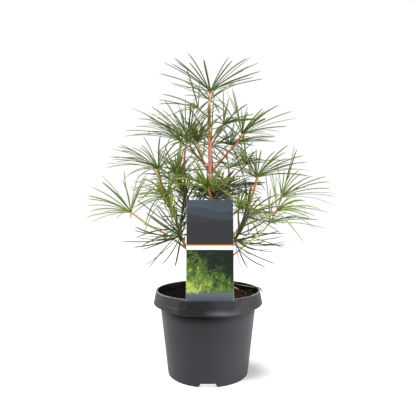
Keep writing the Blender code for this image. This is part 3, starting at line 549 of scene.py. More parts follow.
@dataclass(frozen=True)
class NeedleFinish:
    """The waxy skin of a needle, from its foot to its tip, with painted sunlight and painted highlights in its sunny
    colour.
    """

    name: str
    foot: Colour
    body: Colour
    end: Colour
    sunny: Colour
    rough: float = 0.42
    foot_band: Pair = (0.0, 0.3)
    end_band: Band = (0.55, 1.0, 0.0, 0.6)
    streak_size: tuple[float, float, float] = (3.0, 14.0, 1.6)
    streak_band: Band = (0.42, 0.75, 0.0, 0.3)
    groove_band: Band = (0.0, 0.34, 1.0, 0.0)
    groove_shade: Pair = (0.35, 0.5)
    edge_band: Band = (0.8, 1.0, 0.0, 0.25)
    light: Pair = (0.55, 0.72)
    tip_band: Band = (0.975, 1.0, 0.0, 0.7)
    tip_brown: Colour = (0.16, 0.09, 0.03)
    speck_scale: float = 900.0
    depth: float = 0.06 * MM

    def made(self) -> bpy.types.Material:
        """Makes the material.

        Returns:
            The material.
        """
        paint = Paint(self.name, self.rough, Specular_IOR_Level=0.28)
        along, tone, sun, side = (paint.read(name) for name in ("along", "tone", "sun", "side"))
        off_middle = paint.maths("ABSOLUTE", side)
        body = paint.mix(paint.band(along, *self.foot_band), self.foot, self.body)
        body = paint.mix(paint.band(along, *self.end_band), body, self.end)
        # Painted sunlight and painted highlights: the needle's sun share, its lighter streaks and its edges take the
        # sunny colour.
        body = paint.mix(sun, body, self.sunny)
        across, length, scale = self.streak_size
        streak = paint.noise(paint.joined(paint.times(side, across), paint.times(along, length), tone), scale, 3.0)
        body = paint.mix(paint.band(streak, *self.streak_band), body, self.sunny)
        strength, share = self.groove_shade
        groove = paint.times(paint.band(off_middle, *self.groove_band), strength)
        body = paint.mix(groove, body, shaded(self.body, share))
        body = paint.mix(paint.band(off_middle, *self.edge_band), body, self.sunny)
        body = paint.dimmed(body, paint.straight(tone, *self.light))
        paint.feed("Base Color", paint.mix(paint.band(along, *self.tip_band), body, self.tip_brown))
        speck = paint.noise(paint.place(), self.speck_scale)
        paint.feed("Roughness", paint.straight(speck, 0.25, self.rough - 0.12))
        paint.relief(paint.plus(paint.times(streak, 0.4), speck), self.depth)
        return paint.material


class Needles(Enum):
    """The three needle finishes, by the slot of the record that they fill; the dark one is painted shade."""

    LEAF = NeedleFinish(
        "needle_green", (0.092, 0.172, 0.014), (0.068, 0.1, 0.016), (0.09, 0.121, 0.022), (0.2, 0.262, 0.034))
    # Painted shade: the dark_leaf needles are darker copies of the leaf colours, for whorls that stand in shade.
    DARK = NeedleFinish(
        "needle_shaded_green", (0.046, 0.08, 0.012), (0.025, 0.036, 0.0125), (0.033, 0.046, 0.015), (0.14, 0.18, 0.035))
    BRIGHT = NeedleFinish(
        "needle_fresh_green", (0.11, 0.215, 0.014), (0.1, 0.16, 0.016), (0.165, 0.222, 0.031), (0.3, 0.372, 0.053))

    @classmethod
    def for_slot(cls, slot: str) -> "Needles":
        """The kind of needle that a slot of the record asks for."""
        return {"leaf": cls.LEAF, "dark_leaf": cls.DARK, "bright_leaf": cls.BRIGHT}[slot]


@dataclass(frozen=True)
class WhorlLook:
    """What sets one whorl apart from the others.

    Attributes:
        stem: The node of the stem that it grows on.
        extra: How many needles stand between those of the frame.
        sun: How sunlit its needles are.
        tone: How much lighter its needles are than the others'.
        girth: How much thicker its needles are.
        loose: How many more have grown out of line.
        droop: How far the loose ones hang, as a share of their length.
        sway: How much more bent its needles are.
        part: The gap that is kept free above its middle.
        spread: How far the loose ones' feet are spread along the stem.
        reach: How much longer the loose ones are.
        fringe: How many short needles line the stem below it.
        run: How far down the stem those reach.
        vary: How much its needles differ in tone.
        trim: The shortest that its needles are cut to, as a share of their length.
    """

    stem: str
    extra: int = 6
    sun: float = 0.0
    tone: float = 0.0
    girth: float = 1.0
    loose: int = 0
    droop: float = 0.1
    sway: float = 1.0
    part: float = 0.0
    spread: float = 0.0
    reach: float = 1.0
    fringe: int = 0
    run: float = 0.05
    vary: float = 0.22
    trim: float = 1.0


WHORLS: dict[str, WhorlLook] = {
    "top_whorl": WhorlLook("trunk", 4, 0.0, -0.36, 1.28),
    "crown_lower_whorl": WhorlLook("trunk", 0, 0.65, 0.2, loose=2),
    "crown_side_whorl": WhorlLook("crown_twig", 2, 0.12, -0.05, loose=1),
    "upper_right_whorl": WhorlLook("upper_right_stem", 4, 0.12, 0.05, loose=7, droop=0.0, vary=0.3),
    "right_upper_whorl": WhorlLook("right_upper_stem", 6, 0.06),
    "right_inner_whorl": WhorlLook("right_inner_stem", 5, 0.5, 0.1, loose=9, droop=0.0, fringe=6, run=0.04),
    "left_upper_whorl": WhorlLook("left_green_stem", 5, 0.22, 0.05, loose=1),
    "left_upper_back_whorl": WhorlLook("left_upper_stem", 4, 0.2, 0.1),
    "left_inner_whorl": WhorlLook("left_inner_stem", 6, 0.2, 0.15, loose=3, fringe=7, run=0.06, vary=0.3),
    "inner_whorl": WhorlLook("inner_stem", 11, 0.16, 0.1, loose=10, fringe=7, run=0.05, vary=0.3),
    "left_mid_whorl": WhorlLook("left_limb", 9, 0.24, 0.05, loose=5),
    "right_mid_whorl": WhorlLook("right_limb", 4, 0.18, loose=1),
    "left_low_whorl": WhorlLook("left_low_stem", 2, 0.3, 0.0, 1.06),
    "left_lower_whorl": WhorlLook(
        "left_limb", 8, 0.28, 0.2, 1.0, loose=16, droop=0.35, sway=1.4, spread=0.014, fringe=36, run=0.07,
        vary=0.3),
    "front_whorl": WhorlLook(
        "front_stem", 8, 0.14, -0.02, 0.78, loose=24, droop=0.0, sway=1.6, part=0.024, spread=0.012, fringe=8,
        run=0.014, vary=0.36, trim=0.6),
    "left_inner_low_whorl": WhorlLook(
        "left_green_stem", 10, 0.3, 0.1, 1.0, loose=20, droop=0.3, sway=1.4, spread=0.016, fringe=42, run=0.08,
        vary=0.34),
    "low_left_whorl": WhorlLook(
        "left_limb", 1, 0.25, -0.15, 1.35, loose=16, droop=0.12, sway=2.2, spread=-0.016, reach=1.3, fringe=3,
        run=0.02, vary=0.4),
    "right_inner_low_whorl": WhorlLook("right_inner_twig", 5, 0.4, 0.15, loose=7, droop=0.15),
    "right_far_back_whorl": WhorlLook("right_far_back_stem", 0, 0.25, 0.0, 0.88),
    "right_far_whorl": WhorlLook("right_far_stem", 1, 0.3, 0.0, 0.92, loose=1),
    "right_low_whorl": WhorlLook("right_low_stem", 1, 0.35, 0.0, 0.92, loose=3),
    "front_right_whorl": WhorlLook("front_right_stem", 7, 0.4, 0.18, 0.95, loose=9, fringe=5, run=0.02, vary=0.3),
    "low_right_whorl": WhorlLook(
        "right_limb", 0, 0.2, -0.1, 1.3, loose=8, droop=0.05, sway=1.8, spread=-0.032, reach=1.15, fringe=2,
        run=0.02, vary=0.4),
    "back_right_low_whorl": WhorlLook("back_right_stem", 6, 0.15, 0.0, 1.1, loose=6),
    "back_right_whorl": WhorlLook("back_right_stem", 4, 0.12, loose=3),
    "trunk_whorl": WhorlLook("trunk", 14, 0.1, -0.1, 1.3, loose=54, droop=0.02, sway=1.2, spread=0.014, vary=0.34),
    "back_upper_whorl": WhorlLook("back_upper_stem", 5, 0.08),
    "back_left_whorl": WhorlLook("back_left_stem", 8, 0.1, loose=4),
    "back_left_low_whorl": WhorlLook("back_left_stem", 7, 0.2, 0.1, 1.1, loose=14, sway=2.0),
    "back_whorl": WhorlLook("back_stem", 9, 0.1, 0.0, 1.05, loose=8),
    "back_low_whorl": WhorlLook("back_low_stem", 7, 0.15, loose=5),
}


BETWEEN_SHARES, BETWEEN_LENGTHS, BETWEEN_STRAY = (0.25, 0.75), (0.6, 0.98), 0.08
LOOSE_SWINGS, LOOSE_LENGTHS, LOOSE_FALLS = (0.2, 0.75), (0.6, 0.95), (0.3, 1.7)


def any_way(dice: random.Random, spread: float) -> Vector:
    """A random step in any direction."""
    return Vector([dice.gauss(0.0, spread) for _ in range(3)])


@dataclass
class Needle:
    """Where one needle of the frame starts, bends and ends."""

    foot: Vector
    bend: Vector
    tip: Vector

    def between(self, other: "Needle", dice: random.Random) -> "Needle":
        """A needle that grows between this one and another, a little shorter than they are.

        Args:
            other: The neighbour.
            dice: Where the random numbers come from.

        Returns:
            The new needle.
        """
        share, reach = dice.uniform(*BETWEEN_SHARES), dice.uniform(*BETWEEN_LENGTHS)
        foot = self.foot.lerp(other.foot, share)
        length = (1 - share) * (self.tip - self.foot).length + share * (other.tip - other.foot).length
        tip = self.tip.lerp(other.tip, share) - foot
        stray = any_way(dice, BETWEEN_STRAY) * length
        bend = self.bend.lerp(other.bend, share) - foot + stray * 0.35
        tip += stray
        scale = reach * length / tip.length
        return Needle(foot, foot + bend * scale, foot + tip * scale)

    def strayed(self, dice: random.Random, droop: float, longer: float) -> "Needle":
        """A needle from the same foot that has grown out of line and hangs.

        Args:
            dice: Where the random numbers come from.
            droop: How far its tip hangs, as a share of its length.
            longer: How much longer it is than a common loose needle.

        Returns:
            The new needle.
        """
        pole = any_way(dice, 1.0).normalized()
        swing = Matrix.Rotation(dice.uniform(*LOOSE_SWINGS), 3, pole)
        reach = dice.uniform(*LOOSE_LENGTHS) * longer
        bend, tip = swing @ (self.bend - self.foot) * reach, swing @ (self.tip - self.foot) * reach
        fall = Vector((0.0, 0.0, -tip.length * droop * dice.uniform(*LOOSE_FALLS)))
        if not droop:
            bend.z, tip.z = abs(bend.z), abs(tip.z)
        return Needle(self.foot, self.foot + bend, self.foot + tip + fall)

    def moved(self, shift: Vector) -> "Needle":
        """The same needle, grown from another place."""
        return Needle(self.foot + shift, self.bend + shift, self.tip + shift)

    def trimmed(self, share: float) -> "Needle":
        """The same needle, shorter."""
        return Needle(self.foot, self.foot.lerp(self.bend, share), self.foot.lerp(self.tip, share))

    def parted(self, gap: float, hub: Vector) -> "Needle":
        """Bends the needle aside where it would stand right above the hub.

        Args:
            gap: How wide and how high the gap above the hub is.
            hub: The middle of the whorl.

        Returns:
            The needle as it then grows.
        """
        aside = self.tip.x - hub.x
        if self.tip.z < hub.z + gap:
            return self
        push = Vector((math.copysign(gap, aside) * math.exp(-((aside / gap) ** 2)), 0.0, 0.0))
        kept = 1.0 - 0.3 * math.exp(-((aside / gap / 3.0) ** 2))
        bend, tip = (self.foot.lerp(place, kept) for place in (self.bend + 0.6 * push, self.tip + push))
        return Needle(self.foot, bend, tip)


def needle_form() -> Form:
    """Makes the tree that lays a flat, grooved blade along each drawn line.

    Returns:
        The tree.
    """
    form = Form("needle_maker")
    width, thickness, groove = (form.size(name) for name in ("Half width", "Half thickness", "Groove"))
    lines = form.add("GeometryNodeMeshToCurve", {"Mesh": form.drawn}).outputs[0]
    feeds = {"Curve": lines, "Normal": form.read("across", "FLOAT_VECTOR")}
    lines = form.add("GeometryNodeSetCurveNormal", feeds, mode="FREE").outputs[0]
    ring = form.add("GeometryNodeCurvePrimitiveCircle", {"Resolution": 8, "Radius": 1.0}).outputs[0]
    x, y, _ = form.parts(form.add("GeometryNodeInputPosition").outputs[0])
    ring = form.store(ring, "side", x)
    hollow = form.maths("POWER", form.less(1.0, form.times(x, x)), 4.0)
    height = form.times(y, form.less(1.0, form.times(hollow, groove)))
    place = form.joined(form.times(x, width), form.times(height, thickness))
    blade = form.add("GeometryNodeSetPosition", {"Geometry": ring, "Position": place}).outputs[0]
    feeds = {"Curve": lines, "Profile Curve": blade, "Scale": form.read("girth"), "Fill Caps": True}
    form.close(form.add("GeometryNodeCurveToMesh", feeds).outputs[0])
    return form


@dataclass
class NeedleWhorl:
    """One whorl: the needles of the frame's node, with some more between them."""

    node: str
    look: WhorlLook
    card: "CardLabel"
    half_width: float = 1.12 * MM
    half_thickness: float = 0.64 * MM
    groove: float = 0.45
    stations: tuple[float, ...] = (0.0, 0.07, 0.2, 0.37, 0.54, 0.7, 0.84, 0.95, 1.0)
    girths: tuple[float, ...] = (0.66, 0.82, 0.96, 1.02, 1.03, 1.0, 0.9, 0.62, 0.18)
    sway: float = 0.014
    sway_phase: Pair = (0.4, 1.0)
    turn: float = 0.6
    twist: float = 0.5
    size_range: Pair = (0.84, 1.16)
    sun_range: Pair = (0.3, 1.7)
    sunk: float = 0.4
    fringe_stray: float = 0.42
    fringe_length: Pair = (0.022, 0.05)
    fringe_foot: float = 1.2 * MM

    def frame_needles(self) -> list[Needle]:
        """Reads the needles from the frame's mesh, where each tip joins four corners far below it.

        Returns:
            The needles, sorted by their tips.
        """
        mesh = welded(self.node)
        needles = []
        for tip in mesh.verts:
            edges = tip.link_edges
            if len(edges) != 4 or min(edge.calc_length() for edge in edges) < 0.01:
                continue
            bends = {edge.other_vert(tip) for edge in edges}
            feet = {edge.other_vert(vert) for vert in bends for edge in vert.link_edges} - bends - {tip}
            needles.append(Needle(middle(feet), middle(bends), tip.co.copy()))
        mesh.free()
        needles.sort(key=lambda needle: tuple(needle.tip))
        return needles

    def line(self, needle: Needle, stem: Centreline, dice: random.Random, tone: float) -> Line:
        """Draws one needle as a gently bent line that starts inside the bark.

        Args:
            needle: Where the needle starts, bends and ends.
            stem: The stem that it grows from.
            dice: Where the random numbers come from.
            tone: How light the needle is.

        Returns:
            The line with the needle's girth, width direction and tones.
        """
        root, way = stem.nearest(needle.foot)
        start = root.lerp(needle.foot, self.sunk)
        length = (needle.tip - start).length
        chord = (needle.tip - start).normalized()
        wide = chord.cross(way)
        wide = wide.normalized() if wide.length > 0.05 else chord.orthogonal().normalized()
        flat = chord.cross(wide).normalized()
        sway = self.sway * self.look.sway
        swing, phase = dice.gauss(0.0, sway) * length, dice.uniform(*self.sway_phase)
        lift = dice.gauss(0.0, sway) * length
        points = []
        for t in self.stations:
            point = start * (1 - t) * (1 - 2 * t) + needle.bend * 4 * t * (1 - t) + needle.tip * t * (2 * t - 1)
            wave = math.sin(math.pi * t * phase) * t
            points.append(point + wide * swing * wave + flat * lift * math.sin(math.pi * t))
        points = np.array(points)
        turn, twist = dice.uniform(-self.turn, self.turn), dice.uniform(-self.twist, self.twist)
        tangents = np.gradient(points, axis=0)
        across = []
        for t, tangent in zip(self.stations, tangents):
            tangent = Vector(tangent).normalized()
            side = (wide - tangent * wide.dot(tangent)).normalized()
            side.rotate(Matrix.Rotation(turn + twist * t, 3, tangent))
            across.append(side)
        size = dice.uniform(*self.size_range) * self.look.girth
        count = len(self.stations)
        sun = clamp(self.look.sun * dice.uniform(*self.sun_range))
        values = {
            "girth": np.array(self.girths) * size,
            "across": np.array(across),
            "along": np.array(self.stations),
            "tone": np.full(count, tone),
            "sun": np.full(count, sun),
        }
        return Line(points, values)

    def grown(self, needles: list[Needle], stem: Centreline, dice: random.Random) -> list[Needle]:
        """Grows more needles between those of the frame, and loose ones.

        Args:
            needles: The frame's needles.
            stem: The stem that they grow from.
            dice: Where the random numbers come from.

        Returns:
            The new needles.
        """
        new = []
        for _ in range(self.look.extra):
            first = dice.choice(needles)
            ways = sorted(needles, key=lambda other: (other.tip - first.tip).length)
            new.append(first.between(dice.choice(ways[1:6]), dice))
        for _ in range(self.look.loose):
            loose = dice.choice(needles).strayed(dice, self.look.droop, self.look.reach)
            new.append(loose.moved(stem.nearest(loose.foot)[1] * dice.uniform(-1.0, 0.3) * self.look.spread))
        return new

    def fringe(self, stem: Centreline, hub: Vector, dice: random.Random) -> list[Needle]:
        """Short needles that lie along the stem below the whorl.

        Args:
            stem: The stem that they grow from.
            hub: The middle of the whorl.
            dice: Where the random numbers come from.

        Returns:
            The needles.
        """
        needles = []
        for _ in range(self.look.fringe):
            way = stem.nearest(hub)[1]
            place, way = stem.nearest(hub - way * self.look.run * dice.uniform(0.0, 1.0))
            aim = any_way(dice, self.fringe_stray) + way
            tip = aim.normalized() * dice.uniform(*self.fringe_length)
            out = (tip - way * tip.dot(way)).normalized()
            foot = place + out * self.fringe_foot
            bow = any_way(dice, 0.05) * tip.length
            needles.append(Needle(foot, foot + 0.5 * tip + bow, foot + tip))
        return needles

    def build(self, form: Form, finish: bpy.types.Material) -> Piece:
        """Builds the whorl.

        Args:
            form: The tree that makes blades.
            finish: The needles' material.

        Returns:
            The piece.
        """
        look, dice = self.look, random.Random(self.node)
        stem = Centreline.of_node(look.stem)
        needles = self.frame_needles()
        grown = needles + self.grown(needles, stem, dice)
        hub = sum((needle.foot for needle in needles), Vector()) / len(needles)
        if look.trim < 1.0:
            grown = [needle.trimmed(dice.uniform(look.trim, 1.0)) for needle in grown]
        if look.part:
            grown = [needle.parted(look.part, hub) for needle in grown]
        grown += self.fringe(stem, hub, dice)
        lines = []
        for index, needle in enumerate(grown):
            line = self.line(needle, stem, dice, clamp(dice.gauss(0.5 + look.tone, look.vary)))
            if index < len(needles) or self.card.clear_of(line.points):
                lines.append(line)
        piece = drawn(self.node + "_needles", lines)
        sizes = {
            "Half width": self.half_width,
            "Half thickness": self.half_thickness,
            "Groove": self.groove,
            "Finish": finish,
        }
        return form.bake(piece, sizes)


# ---- stems


class Bark(Enum):
    """The colours that young bark and shoots take."""

    BROWN = (0.24, 0.115, 0.062)
    SALMON = (0.82, 0.37, 0.235)
    PINK = (0.86, 0.46, 0.32)
    CLAY = (0.56, 0.21, 0.13)
    RED = (0.44, 0.13, 0.08)
    DARK_RED = (0.3, 0.1, 0.065)
    ORANGE = (0.54, 0.21, 0.062)
    OLIVE = (0.29, 0.29, 0.07)
    GREEN = (0.27, 0.36, 0.06)
    PALE_GREEN = (0.42, 0.48, 0.1)


@dataclass(frozen=True)
class BarkFinish:
    """Thin bark with fine cracks along it and soft blotches."""

    name: str = "young_bark"
    rough: float = 0.62
    crack_length: float = 55.0
    crack_scale: float = 3.6
    crack_band: Band = (0.52, 0.7, 0.0, 0.75)
    crack_shade: Colour = (0.5, 0.42, 0.42)
    ring_scale: float = 420.0
    ring_band: Band = (0.6, 0.72, 0.0, 0.35)
    blotch_scale: float = 85.0
    blotch_band: Band = (0.55, 0.75, 0.0, 0.55)
    blotch_tint: Colour = (0.8, 0.62, 0.5)
    blotch_share: float = 0.35
    scale_tint: Colour = (0.2, 0.08, 0.035)
    scale_share: Pair = (0.45, 0.8)
    depth: float = 0.3 * MM

    def made(self) -> bpy.types.Material:
        """Makes the material.

        Returns:
            The material.
        """
        paint = Paint(self.name, self.rough, Specular_IOR_Level=0.3)
        tone, run = paint.read("bark", "Vector"), paint.read("run")
        x, y, _ = paint.parts(paint.read("around", "Vector"))
        cracks = paint.noise(paint.joined(x, y, paint.times(run, self.crack_length)), self.crack_scale, 4.0, 0.6)
        rings = paint.noise(paint.joined(0.0, 0.0, paint.times(run, self.ring_scale)), 1.0)
        blotch = paint.noise(paint.place(), self.blotch_scale, 3.0)
        dark = paint.mix(1.0, tone, self.crack_shade, "MULTIPLY")
        pale = paint.mix(self.blotch_share, tone, self.blotch_tint)
        body = paint.mix(paint.band(cracks, *self.crack_band), tone, dark)
        body = paint.mix(paint.band(blotch, *self.blotch_band), body, pale)
        body = paint.mix(paint.band(rings, *self.ring_band), body, dark)
        tint, cover = self.scale_share
        brown = paint.mix(tint, tone, self.scale_tint)
        paint.feed("Base Color", paint.mix(paint.times(paint.read("scale_leaf"), cover), body, brown))
        paint.feed("Roughness", paint.straight(blotch, 0.3, self.rough - 0.15))
        paint.relief(paint.plus(cracks, paint.times(rings, 0.4)), self.depth, 0.8)
        return paint.material


@dataclass(frozen=True)
class StemLook:
    """How one stem is coloured along its length, and where it thickens.

    Attributes:
        tones: Shares of the length from foot to tip, each followed by the bark's colour there.
        knots: The shares of the length at which the stem thickens.
        scales: How thickly it is set with scale leaves.
    """

    tones: str
    knots: tuple[float, ...] = (0.3, 0.62)
    scales: float = 1.0

    def stops(self) -> list[tuple[float, Colour]]:
        """The shares of the length, each with its colour."""
        words = self.tones.split()
        return [(float(share), Bark[name].value) for share, name in zip(words[::2], words[1::2])]


STEMS: dict[str, StemLook] = {
    "trunk": StemLook(
        "0 BROWN 0.1 BROWN 0.54 DARK_RED 0.58 SALMON 0.62 PINK 0.7 SALMON 0.79 SALMON 0.8 OLIVE 0.812 PINK "
        "0.83 PINK 0.838 OLIVE 0.85 RED 0.9 BROWN 0.915 OLIVE 0.935 PINK 0.968 PINK 0.985 BROWN 1 BROWN",
        (0.22, 0.36, 0.47, 0.575, 0.61, 0.8, 0.838, 0.9), 1.4),
    "left_limb": StemLook(
        "0 DARK_RED 0.3 DARK_RED 0.45 RED 0.6 OLIVE 0.75 ORANGE 0.95 ORANGE 1 BROWN", (0.2, 0.36, 0.62, 0.7)),
    "right_limb": StemLook(
        "0 RED 0.3 CLAY 0.6 CLAY 0.72 ORANGE 0.8 OLIVE 0.83 ORANGE 0.96 ORANGE 1 BROWN", (0.35, 0.55, 0.8)),
    "left_upper_stem": StemLook("0 RED 0.3 CLAY 0.5 RED 0.75 RED 0.95 CLAY 1 BROWN", (0.28, 0.5, 0.72)),
    "left_green_stem": StemLook(
        "0 ORANGE 0.12 OLIVE 0.35 RED 0.6 DARK_RED 0.72 OLIVE 0.92 OLIVE 1 BROWN", (0.06, 0.42)),
    "left_inner_stem": StemLook("0 RED 0.6 RED 0.95 CLAY 1 BROWN"),
    "inner_stem": StemLook("0 CLAY 0.6 CLAY 0.95 PINK 1 BROWN"),
    "right_upper_stem": StemLook("0 RED 0.5 RED 0.95 CLAY 1 BROWN"),
    "right_inner_stem": StemLook("0 RED 0.6 OLIVE 1 BROWN", (0.5,)),
    "upper_right_stem": StemLook("0 ORANGE 0.5 OLIVE 1 BROWN", (0.5,)),
    "crown_twig": StemLook("0 RED 0.9 OLIVE 1 BROWN", (0.5,)),
    "left_low_stem": StemLook(
        "0 OLIVE 0.3 GREEN 0.42 ORANGE 0.48 PALE_GREEN 0.8 PALE_GREEN 0.86 PINK 0.95 PINK 1 BROWN", (0.44, 0.84)),
    "front_stem": StemLook("0 RED 0.4 ORANGE 0.95 ORANGE 1 BROWN"),
    "right_far_back_stem": StemLook("0 ORANGE 0.25 OLIVE 0.7 PALE_GREEN 0.85 ORANGE 1 BROWN"),
    "right_far_stem": StemLook("0 ORANGE 0.3 OLIVE 0.7 PALE_GREEN 0.85 ORANGE 1 BROWN"),
    "right_low_stem": StemLook(
        "0 DARK_RED 0.3 ORANGE 0.45 PALE_GREEN 0.85 PALE_GREEN 0.92 ORANGE 1 BROWN", (0.42, 0.75)),
    "front_right_stem": StemLook("0 RED 0.5 ORANGE 0.95 OLIVE 1 BROWN"),
    "back_right_stem": StemLook("0 RED 0.5 CLAY 0.95 CLAY 1 BROWN"),
    "right_inner_twig": StemLook("0 RED 0.6 ORANGE 1 BROWN", (0.5,)),
    "back_upper_stem": StemLook("0 RED 0.5 RED 0.95 CLAY 1 BROWN"),
    "back_left_stem": StemLook("0 DARK_RED 0.5 ORANGE 0.95 ORANGE 1 BROWN"),
    "back_stem": StemLook("0 RED 0.6 CLAY 0.95 CLAY 1 BROWN"),
    "back_low_stem": StemLook("0 DARK_RED 0.4 OLIVE 0.9 PALE_GREEN 1 BROWN"),
}
TWIG_LOOK = StemLook("0 RED 0.5 PINK 1 RED", (0.4,), 0.3)


def stem_form() -> Form:
    """Makes the tree that lays rough bark along a drawn line and sets small scale leaves on it.

    Returns:
        The tree.
    """
    form = Form("stem_maker")
    sides = form.size("Sides", "NodeSocketInt")
    uneven, density, leaf = (form.size(name) for name in ("Unevenness", "Scale leaves per area", "Scale leaf length"))
    seed = form.size("Seed", "NodeSocketInt")
    line = form.add("GeometryNodeMeshToCurve", {"Mesh": form.drawn}).outputs[0]
    ring = form.add("GeometryNodeCurvePrimitiveCircle", {"Resolution": sides, "Radius": 1.0}).outputs[0]
    ring = form.store(ring, "around", form.add("GeometryNodeInputPosition").outputs[0], "FLOAT_VECTOR")
    feeds = {"Curve": line, "Profile Curve": ring, "Scale": form.read("girth"), "Fill Caps": True}
    tube = form.add("GeometryNodeCurveToMesh", feeds).outputs[0]
    place = form.add("GeometryNodeInputPosition").outputs[0]
    rough = form.less(form.noise(place, 330.0, 3.0), 0.5)
    push = form.scaled(form.add("GeometryNodeInputNormal").outputs[0], form.times(rough, uneven, form.read("girth")))
    tube = form.add("GeometryNodeSetPosition", {"Geometry": tube, "Offset": push}).outputs[0]
    tube = form.store(tube, "scale_leaf", 0.0)
    feeds = {"Mesh": tube, "Density": density, "Seed": seed, "Selection": form.read("bare", "BOOLEAN")}
    scatter = form.add("GeometryNodeDistributePointsOnFaces", feeds)
    feeds = {"Primary Axis": form.read("way", "FLOAT_VECTOR"), "Secondary Axis": scatter.outputs["Normal"]}
    turn = form.add("FunctionNodeAxesToRotation", feeds, primary_axis="Z", secondary_axis="X").outputs[0]
    feeds = {"Rotation": turn, "Rotate By": form.add("FunctionNodeEulerToRotation", {0: (0.0, 0.35, 0.0)}).outputs[0]}
    turn = form.add("FunctionNodeRotateRotation", feeds, rotation_space="LOCAL").outputs[0]
    ball = form.add("GeometryNodeMeshUVSphere", {"Segments": 6, "Rings": 4, "Radius": 1.0}).outputs[0]
    x, y, z = form.parts(form.add("GeometryNodeInputPosition").outputs[0])
    narrow = form.less(0.75, form.times(z, 0.35))
    shape = form.joined(form.times(x, 0.22), form.times(y, 0.6, narrow), z)
    ball = form.add("GeometryNodeSetPosition", {"Geometry": ball, "Position": shape}).outputs[0]
    ball = form.store(ball, "scale_leaf", 1.0)
    size = form.times(leaf, form.chance(0.6, 1.3, 3))
    size = form.joined(size, size, size)
    feeds = {"Points": scatter.outputs["Points"], "Instance": ball, "Rotation": turn, "Scale": size}
    form.close(form.add("GeometryNodeInstanceOnPoints", feeds).outputs[0], tube)
    return form


@dataclass
class StemBranch:
    """One stem of the frame with its bark, joints, scale leaves and bud."""

    node: str
    look: StemLook
    side_shoot: bool = True
    step: float = 1.4 * MM
    sink: float = 2.4 * MM
    collar: float = 0.3
    knot_swell: float = 0.22
    knot_length: float = 2.2 * MM
    sides: int = 12
    uneven: float = 0.3
    leaf: float = 0.75 * MM
    density: float = 26000.0
    collar_length: float = 4.0 * MM
    bare_ends: Pair = (4.0 * MM, 1.0 * MM)

    def line(self) -> Line:
        """Draws the stem, from inside its parent to the tip of its bud.

        Returns:
            The line with the stem's girth, colours and direction.
        """
        centre = Centreline.of_node(self.node)
        if self.side_shoot:
            back = (centre.points[0] - centre.points[1]).normalized()
            centre.points.insert(0, centre.points[0] + back * self.sink)
            centre.radii.insert(0, centre.radii[0])
        points, radii = centre.smooth(self.step)
        gaps = np.linalg.norm(np.diff(points, axis=0), axis=1)
        run = np.concatenate([[0.0], np.cumsum(gaps)])
        share = run / run[-1]
        swell = 1.0 + self.collar * np.exp(-run / self.collar_length)
        for knot in self.look.knots:
            swell += self.knot_swell * np.exp(-(((share - knot) * run[-1] / self.knot_length) ** 2))
        girth = np.maximum(radii, 0.0002) * swell
        way = np.gradient(points, axis=0)
        way /= np.linalg.norm(way, axis=1)[:, None]
        shares, colours = zip(*self.look.stops())
        values = {
            "girth": girth,
            "run": run,
            "way": way,
            "bark": np.stack([np.interp(share, shares, part) for part in zip(*colours)], axis=1),
            "bare": ((run > self.bare_ends[0]) & (run < run[-1] - self.bare_ends[1])).astype(float),
        }
        return Line(points, values)

    def build(self, form: Form, finish: bpy.types.Material) -> Piece:
        """Builds the stem.

        Args:
            form: The tree that makes stems.
            finish: The bark's material.

        Returns:
            The piece.
        """
        piece = drawn(self.node + "_bark", [self.line()])
        sizes = {
            "Sides": self.sides,
            "Unevenness": self.uneven,
            "Scale leaves per area": self.density * self.look.scales,
            "Scale leaf length": self.leaf,
            "Seed": sum(map(ord, self.node)),
            "Finish": finish,
        }
        return form.bake(piece, sizes)


# ---- pot


